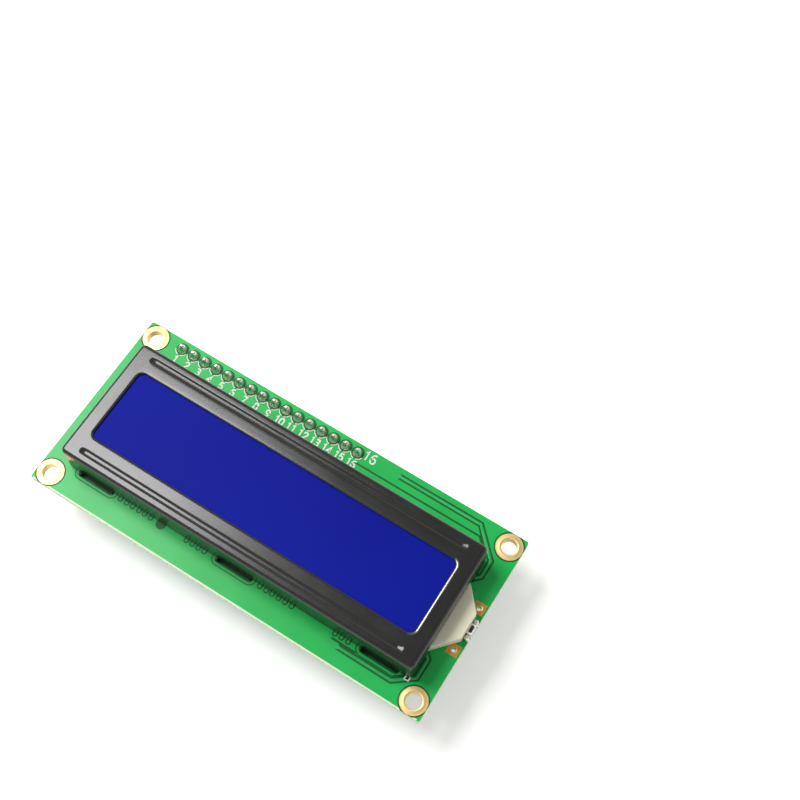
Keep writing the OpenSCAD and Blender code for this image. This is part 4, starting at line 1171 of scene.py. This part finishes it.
BACK_SILK = [[(19.2, 6.7), (17, 6.7), (17, 3.9), (19.2, 3.9)],
             [(21.1, 6.7), (23.2, 6.7), (23.2, 3.9), (21.1, 3.9)],
             [(9.4, 13.6), (9.4, 18.9), (11.95, 18.9), (11.95, 13.6)], [(9.4, 13.6), (10.1, 13.6)],
             [(11.25, 13.6), (11.95, 13.6)]]
BACK_BARS = [[(13.42, 19.3), (13.42, 22.7)], [(13.42, 22.8), (13.42, 26.1)]]
BACK_FIGURES = [("18", 14.6, 4.9, 1.8), ("15", 3.7, 12, 1.7), ("16", 3.4, 25.2, 1.7), ("1", 6.7, 10.4, 1.5),
                ("2", 9.9, 10.4, 1.4), ("3", 15.2, 12.2, 1.5), ("11", 4.9, 20.9, 1.8), ("12", 4.9, 24.4, 1.8),
                ("23", 15.5, 17.6, 2), ("22", 22.6, 25.6, 2), ("21", 47.6, 24.6, 2), ("+", 15.2, 21.1, 1.7),
                ("+", 15.2, 24.9, 1.7), ("16", 62.7, 19.4, 1.6), ("13", 59.2, 27, 1.7),
                ("33", 66.7, 20.6, 1.6), ("32", 66.7, 23, 1.6), ("31", 66.7, 25.4, 1.6)]


class AddFrontArtwork(bpy.types.Operator):
    """Adds the etched copper, plated pads and printed figures of the display side"""

    bl_idname = "display_module.add_front_artwork"
    bl_label = "Front artwork"

    def execute(self, context):
        sizes = context.scene.display_sizes
        copper, ink = sizes.copper_height / MM, sizes.ink_height / MM
        slots, vias, pins = slot_places(), drawn(FRONT_VIAS), middles("row_header_pins")[:, :2]
        thick = [drawn(path) for path in FRONT_TRACES]
        gaps = [lines(thick, 1.15, GAP), lines([drawn(path) for path in FRONT_GAPS], 0.35, GAP),
                slot_rings(2.6, 2.2, GAP * 1.2, slots), slot_rings(1.5, 1.24, GAP * 1.2, slots),
                copies(disc(0.52, GAP * 1.4, 20), vias), copies(disc(0.95, GAP, 28), drawn([(24.6, 31)])),
                # painted shade: a dark disc round each joint, wide enough to touch its neighbours, stands for
                # the shadow between the tall joints as well as the clearance round each pad
                copies(disc(1.26, GAP, 28), pins)]
        add_piece("front_etched_gaps_and_painted_shade", on_front(joined(gaps)), "green_mask_over_etched_gap")
        end = lathe([(0.42, 0), (0.38, copper * 1.2), (0.03, copper * 1.2)], 20)
        traces = [lines(thick, 0.5, copper, 0.05), copies(end, [path[0] for path in thick]),
                  via_dots(vias, 0.3, copper, 0.13)]
        add_piece("front_traces", on_front(joined(traces)), "green_mask_over_copper",
                  smooth=40)
        edge = ribbon(drawn([(0.5, 35.87), (79.5, 35.87)]), 0.26, GAP)
        add_piece("front_bare_edge", on_front(edge), "bare_glass_epoxy")

        corner = np.array([spot("bezel")[1][0] - 0.8, slots[-1][1]])
        gold = [holed(square(1.05), 0.75, lamp_hole_places(), copper),
                moved(slab(oblong(-0.27, 0.27, -0.4, 0.3), copper, 0.01), corner)]
        add_piece("front_gold_pads", on_front(joined(gold)), "immersion_gold", smooth=40)

        height, row_y = sizes.figure_height / MM, pins[0, 1] - 2.2
        marks = [figures(str(i + 1), x, row_y, height, 0.27, ink) for i, (x, _) in enumerate(pins)]
        marks += [figures("16", pins[-1, 0] + 2.4, pins[-1, 1] + 0.4, 1.75, 0.27, ink),
                  ribbon(corner + [(-0.38, 0.3), (-0.38, -0.5), (0.38, -0.5), (0.38, 0.3)], 0.2, ink)]
        arcs = lines([arc(0, 0, 1.22, start, start + 62, 8) for start in (199, 279)], 0.15, ink)
        marks.append(copies(arcs, pins))
        add_piece("front_legend", on_front(joined(marks)), "white_legend_ink")
        return {"FINISHED"}


def narrow_traces(chips):
    """The fine traces of the main board's back: a fan round each sealed chip, and four bundles of lines."""
    paths = []
    for (centre, r), angles in zip(chips, ((115, 330), (200, 335))):
        paths += fan(centre, r - 0.4, r + 1.2, *angles, 30)
    for i in range(7):
        y = 24.6 + 0.52 * i
        paths.append(drawn([(18.9, y), (29.5 - 0.5 * i, y), (33.8 - 0.45 * i, y - 3.2)]))
        x = 57.7 + 1.26 * i
        if i < 6:
            paths.append(drawn([(x, 30.4), (x, 29.6 - 0.3 * i), (56.2 + 0.55 * i, 26.6 - 0.15 * i)]))
        x = 16 + 0.52 * i
        paths.append(drawn([(x, 8.3 + 0.5 * i), (x, 11 + 0.25 * i), (20.6, 15.6 - 0.27 * i)]))
        y = 23.6 + 0.42 * i
        paths.append(drawn([(35.2 + 0.1 * i, y), (44.5 + 0.2 * i, y)]))
    return paths


class AddBackArtwork(bpy.types.Operator):
    """Adds the etched copper, gold pads and printed legend of the main board's back"""

    bl_idname = "display_module.add_back_artwork"
    bl_label = "Back artwork"

    def execute(self, context):
        sizes = context.scene.display_sizes
        copper, ink = sizes.copper_height / MM, sizes.ink_height / MM
        slots = np.array(slot_places()) * (-1, 1)
        chips = []
        for node in ("driver_seal", "controller_seal"):
            low, high = spot(node)
            chips.append((middles(node)[0][:2] * (-1, 1), (high - low)[0] / 2))
        wide, narrow, vias = [drawn(path) for path in BACK_TRACES], narrow_traces(chips), drawn(BACK_VIAS)
        gaps = [slab(oblong(*drawn_box(*box, 0.45), 0.3, 2), 0.008) for box in TAB_PADS]
        gaps += [copies(slab(slot_outline(2.4), 0.01), slots), lines(wide, 0.8, 0.006),
                 lines(narrow, 0.42, 0.004), slab(oblong(*drawn_box(19.6, 28.3, 27.7, 32.4), 0.3), 0.003),
                 copies(disc(0.85, 0.012, 24), drawn([(55.35, 30.9)])), copies(disc(0.6, 0.01, 16), vias)]
        add_piece("back_etched_gaps", on_back(joined(gaps)), "green_mask_over_etched_gap")
        traces = [lines(wide, 0.4, copper, 0.05), lines(narrow, 0.2, copper, 0.03),
                  slab(drawn(BACK_POUR), copper * 0.8, 0.02), via_dots(vias, 0.4, copper * 1.3, 0.16)]
        add_piece("back_traces", on_back(joined(traces)), "green_mask_over_copper", smooth=40)

        pad, split = copper + 0.015, drawn(SPLIT_PADS)
        gold = [slab(oblong(*drawn_box(*box)), pad, 0.01) for box in TAB_PADS + PART_PADS]
        half = slab(arc(0.13, 0, 0.98, -88, 88, 14), pad, 0.01)
        gold += [copies(turned(half, turn), split) for turn in (0, 180)]
        gold += [holed(square(1.05), 0.75, np.array(lamp_hole_places()) * (-1, 1), pad),
                 holed(circle(0.95), 0.62, drawn([(3.85, 17.4), (3.85, 20)]), pad)]
        add_piece("back_gold_pads", on_back(joined(gold)), "immersion_gold", smooth=40)
        add_piece("back_slot_rims", on_back(slot_rings(1.55, 1.22, pad + 0.02, slots)), "tin_plate")
        drops = []
        for seed, place in enumerate(drawn([(1.0, 17.2), (1.0, 20.1)])):
            points, faces = drop_shape(0.95, 0.42, seed)
            drops.append(moved((points * (1, 1.28, 1), faces), place))
        add_piece("back_lamp_solder", on_back(joined(drops)), "soft_solder", smooth=60)

        marks = [lines([drawn(path) for path in BACK_SILK], 0.26, ink),
                 lines([drawn(path) for path in BACK_BARS], 0.7, ink + 0.01),
                 lines([frame_line(*drawn_box(*box), 0.25) for box in BACK_BOXES], 0.22, ink),
                 lines([arc(*place, 1.3, 0, 360, 28) for place in split], 0.17, ink),
                 ribbon(arc(*drawn([(10.68, 13.6)])[0], 0.57, 180, 360, 10), 0.2, ink),
                 lines([arc(*centre, r + 0.2, -80, -14, 24) for centre, r in chips], 0.26, ink)]
        marks += [figures(text, *drawn([(x, y)])[0], size, 0.15 * size, ink)
                  for text, x, y, size in BACK_FIGURES]
        add_piece("back_legend", on_back(joined(marks)), "white_legend_ink")
        return {"FINISHED"}


def brackets(x0, x1, y0, y1):
    """Two U-shaped lines that hold a chip part between them, open towards the middle of its longer side."""
    reach, half = 0.75, 0.45
    if x1 - x0 > y1 - y0:
        x = (x0 + x1) / 2
        return [[(x + s * half, y0), (end, y0), (end, y1), (x + s * half, y1)]
                for s, end in ((-1, x0 - reach), (1, x1 + reach))]
    y = (y0 + y1) / 2
    return [[(x0, y + s * half), (x0, end), (x1, end), (x1, y + s * half)]
            for s, end in ((-1, y0 - reach), (1, y1 + reach))]


class AddInterfaceArtwork(bpy.types.Operator):
    """Adds the traces, bare pads and printed legend of the interface board"""

    bl_idname = "display_module.add_interface_artwork"
    bl_label = "Interface board artwork"

    def execute(self, context):
        sizes = context.scene.display_sizes
        copper, ink = sizes.copper_height / MM, sizes.ink_height / MM
        left, right, bottom, top = seen_box(PACK_LOW, PACK_HIGH)
        chip_left, chip_right, chip_bottom, chip_top = seen_box(*spot("expander_chip"))
        lamp_left, lamp_right, lamp_bottom, _ = seen_box(*spot("power_lamp"))
        bus = [(low[1] + high[1]) / 2 for low, high in solids("bus_header_pins")]

        edge = left + 0.4
        paths = [[(edge, top - 5.2), (edge, top - 0.2), (right - 0.4, top - 0.2), (right - 0.4, top - 2.9),
                  (edge, top - 2.9)],
                 [(edge, top - 11.6), (edge, bottom + 0.35), (right - 0.5, bottom + 0.35)]]
        for node, margin in (("jumper_header_base", 0.25), ("trimmer_housing", 0.4)):
            paths.append(frame_line(*seen_box(*spot(node), margin)))
        for node, margin in (("interface_resistors", 0.3), ("capacitor", 0.35), ("power_lamp", 0.35)):
            for low, high in solids(node):
                paths += brackets(*seen_box(low, high, margin))
        x0, x1, _, y1 = seen_box(*spot("transistor"), 0.4)
        paths += [[(x0 + 0.7, y1), (x0, y1), (x0, y1 - 0.8)], [(x1 - 0.7, y1), (x1, y1), (x1, y1 - 0.8)]]
        paths += [[(chip_left + 0.1, y), (chip_right - 0.1, y)] for y in (chip_bottom - 0.5, chip_top + 0.45)]
        pad_x = [edge - 0.05 + d for d in (30.2, 32.6, 35.1)]
        paths += [frame_line(x - 0.83, x + 0.83, bottom + 1.25, bottom + 4.3) for x in pad_x]
        marks = [lines(paths, 0.2, ink)]
        marks += [figures(str(i + 1), right - 4.2, y, 1.1, 0.21, ink) for i, y in enumerate(bus)]
        marks.append(figures("+", (lamp_left + lamp_right) / 2, lamp_bottom - 1.9, 1.4, 0.24, ink))
        marks.append(figures("1", chip_right + 2.6, chip_bottom + 2.0, 1.05, 0.2, ink))
        marks += [figures(text, lamp_right + x, lamp_bottom - 1.5, 1.05, 0.2, ink)
                  for text, x in (("10", 0.3), ("8", 2.3), ("9", 4.3))]
        marks += [figures(str(i), x, bottom + 5.05, 0.95, 0.19, ink) for i, x in enumerate(pad_x)]
        add_piece("interface_legend", on_pack(joined(marks)), "white_legend_ink")

        pad = slab(oblong(-0.5, 0.5, -0.45, 0.45, 0.08, 2), copper * 1.2, 0.01)
        pads = copies(pad, [(x, bottom + y) for x in pad_x for y in (2.0, 3.55)])
        add_piece("interface_bare_pads", on_pack(pads), "tin_plate")

        traces = []
        for i in range(8):
            x, y = chip_left, chip_top - 0.7 - 1.27 * i
            traces.append([(x - 1.6, y), (x - 2.4 - 0.12 * i, y), (x - 3.4 - 0.3 * i, y + 1.0)])
            x, y = chip_left + 0.6 + 0.95 * i, chip_top
            traces.append([(x, y + 0.8), (x, y + 1.5 + 0.1 * (i % 3)), (x + 0.8, y + 2.5)])
        for i, y in enumerate(bus):
            traces.append([(right - 3.4, y), (right - 5.2 - 0.2 * i, y - 1.1), (right - 9.2, y - 1.1)])
            y = bottom + 0.9 + 0.5 * i
            traces.append([(left + 2.2 + 0.6 * i, y), (left + 24, y)])
        spots = [(x, bottom + 5.6) for x in pad_x]
        spots += [(chip_left - 2.9, chip_bottom + 1.2), (chip_right + 2.2, chip_top - 0.6)]
        traces = joined([lines(traces, 0.24, copper, 0.03), via_dots(spots, 0.36, copper * 1.2, 0.14)])
        add_piece("interface_traces", on_pack(traces), "black_mask_over_copper", smooth=40)
        return {"FINISHED"}


# ---- stage ----

SOFTBOX_WAY = (-0.50, 0.04, 0.865)   # from the middle of the module towards the lamp
SOFTBOX_SIDES = (0.525, 0.45)        # width and height, as shares of its distance
CAMERA_PLACE = (57.736, -53.831, 217.176)   # in millimetres
CAMERA_RIGHT, CAMERA_UP = (0.84680, 0.53189, 0.00461), (-0.48721, 0.77215, 0.40794)
WHITE = (1.0, 1.0, 1.0, 1.0)


def shown_rays(tree):
    """Whether a ray comes from the camera, and whether it comes by way of a shiny or clear surface."""
    path = add(tree, "ShaderNodeLightPath").outputs
    return path["Is Camera Ray"], compute(tree, "MAXIMUM", path["Is Glossy Ray"], path["Is Transmission Ray"])


def ramp(tree, value, start, end, low, high):
    """Maps start to end onto low to high, and holds both ends."""
    return add(tree, "ShaderNodeMapRange", {"Value": value, "From Min": start, "From Max": end, "To Min": low,
                                            "To Max": high}).outputs[0]


def add_floor(level, colour):
    """Wide disc whose height falls off slowly far from the middle, z = level - 0.02 (d/1.8)^4. It is clear
    from below, and what is seen of it, straight or in a mirror, glows more the further out it is."""
    d = np.array([0.0005, 0.1, 0.25, 0.5, 0.8, 1.2, 1.8])
    rings = np.stack([lifted(circle(r, 64), level - 0.02 * (r / d[-1]) ** 4) for r in d])
    faces = grid_faces(len(d), 64, wrap_columns=True)[:, ::-1]
    mesh = bpy.data.meshes.new("floor")
    mesh.from_pydata(rings.reshape(-1, 3).tolist(), [], [list(range(64)), *faces.tolist()])
    mesh.polygons.foreach_set("use_smooth", [True] * len(mesh.polygons))
    material, tree = new_material("pale_floor")
    by_camera, mirrored = shown_rays(tree)
    place = add(tree, "ShaderNodeTexCoord").outputs["Object"]
    away = add(tree, "ShaderNodeVectorMath", {0: place}, operation="LENGTH").outputs["Value"]
    glow = compute(tree, "MULTIPLY", compute(tree, "MAXIMUM", by_camera, mirrored),
                   ramp(tree, away, 0.12, 0.7, 0.36, 0.66))
    above = add(tree, "ShaderNodeBsdfPrincipled", {
        "Base Color": colour, "Roughness": 0.9, "Specular IOR Level": 0.1, "Emission Color": WHITE,
        "Emission Strength": glow})
    below = add(tree, "ShaderNodeBsdfTransparent")
    side = add(tree, "ShaderNodeNewGeometry").outputs["Backfacing"]
    one_way = add(tree, "ShaderNodeMixShader", {0: side, 1: above.outputs[0], 2: below.outputs[0]})
    add(tree, "ShaderNodeOutputMaterial", {"Surface": one_way.outputs[0]})
    mesh.materials.append(material)
    return bpy.data.objects.new("floor", mesh)


def add_room(settings):
    """World that lights the module evenly and is white to the camera. In shiny surfaces its walls are
    brighter than its ceiling and its ground, by the steepness of the ray, |z|."""
    world = bpy.data.worlds.new("room")
    world.use_nodes = True
    tree = world.node_tree
    tree.nodes.clear()
    by_camera, mirrored = shown_rays(tree)
    way = add(tree, "ShaderNodeTexCoord").outputs["Generated"]
    steep = compute(tree, "ABSOLUTE", add(tree, "ShaderNodeSeparateXYZ", {0: way}).outputs["Z"])
    reflected = ramp(tree, steep, 0.55, 0.85, settings.wall_level, settings.ceiling_level)
    level = mix_values(tree, mirrored, settings.sky_level, reflected)
    level = mix_values(tree, by_camera, level, 1.0)
    back = add(tree, "ShaderNodeBackground", {"Color": WHITE, "Strength": level})
    add(tree, "ShaderNodeOutputWorld", {"Surface": back.outputs["Background"]})
    return world


class AddStage(bpy.types.Operator):
    """Adds the floor, the large soft lamp, the light of the room and the camera"""

    bl_idname = "display_module.add_stage"
    bl_label = "Floor, lights and camera"

    def execute(self, context):
        scene = context.scene
        settings, sizes = scene.display_stage, scene.display_sizes
        floor = add_floor(CAD_BOX[0][2] - sizes.floor_drop, settings.floor_colour)

        data = bpy.data.lights.new("softbox", "AREA")
        data.shape, data.energy = "RECTANGLE", settings.softbox_power
        data.size, data.size_y = (share * settings.softbox_distance for share in SOFTBOX_SIDES)
        lamp = bpy.data.objects.new("softbox", data)
        way = Vector(SOFTBOX_WAY).normalized()
        lamp.location = way * settings.softbox_distance
        lamp.rotation_euler = way.to_track_quat("Z", "Y").to_euler()

        data = bpy.data.cameras.new("camera")
        data.lens, data.sensor_width, data.sensor_fit = settings.lens, 36.0, "HORIZONTAL"
        data.clip_start, data.clip_end = 0.01, 10.0
        camera = bpy.data.objects.new("camera", data)
        right, up = Vector(CAMERA_RIGHT), Vector(CAMERA_UP)
        turn = Matrix((right, up, right.cross(up))).transposed()
        camera.matrix_world = Matrix.Translation(Vector(CAMERA_PLACE) * MM) @ turn.to_4x4()

        for piece in (floor, lamp, camera):
            scene.collection.objects.link(piece)
        scene.camera = camera
        scene.world = add_room(settings)
        scene.view_settings.view_transform = "Standard"
        return {"FINISHED"}


class DisplayPanel(bpy.types.Panel):
    """Lists the pieces of the display module"""

    bl_idname = "VIEW3D_PT_display_module"
    bl_label = "Display module"
    bl_space_type = "VIEW_3D"
    bl_region_type = "UI"
    bl_category = "Display module"

    def draw(self, context):
        for settings in (context.scene.display_sizes, context.scene.display_stage):
            for name in settings.bl_rna.properties.keys():
                if name not in ("rna_type", "name"):
                    self.layout.prop(settings, name)
        for operator in PIECES:
            self.layout.operator(operator.bl_idname)


SETTINGS = (DisplaySizes, DisplayStage)
PIECES = (DressBoards, DressDisplay, AddBezel, AddBacklight, AddPinRow, AddBentHeaders, AddTrimmer,
          AddExpanderChip, AddSmallParts, AddSealedChips, AddFrontArtwork, AddBackArtwork,
          AddInterfaceArtwork, AddStage)


def register():
    """Registers the settings, the operators and the panel."""
    for cls in (*SETTINGS, *PIECES, DisplayPanel):
        bpy.utils.register_class(cls)
    bpy.types.Scene.display_sizes = PointerProperty(type=DisplaySizes)
    bpy.types.Scene.display_stage = PointerProperty(type=DisplayStage)


def unregister():
    """Removes the panel, the operators and the settings."""
    del bpy.types.Scene.display_stage
    del bpy.types.Scene.display_sizes
    for cls in reversed((*SETTINGS, *PIECES, DisplayPanel)):
        bpy.utils.unregister_class(cls)


def main():
    """Adds every piece in order."""
    register()
    for operator in PIECES:
        group, name = operator.bl_idname.split(".")
        getattr(getattr(bpy.ops, group), name)()


if __name__ == "__main__":
    main()
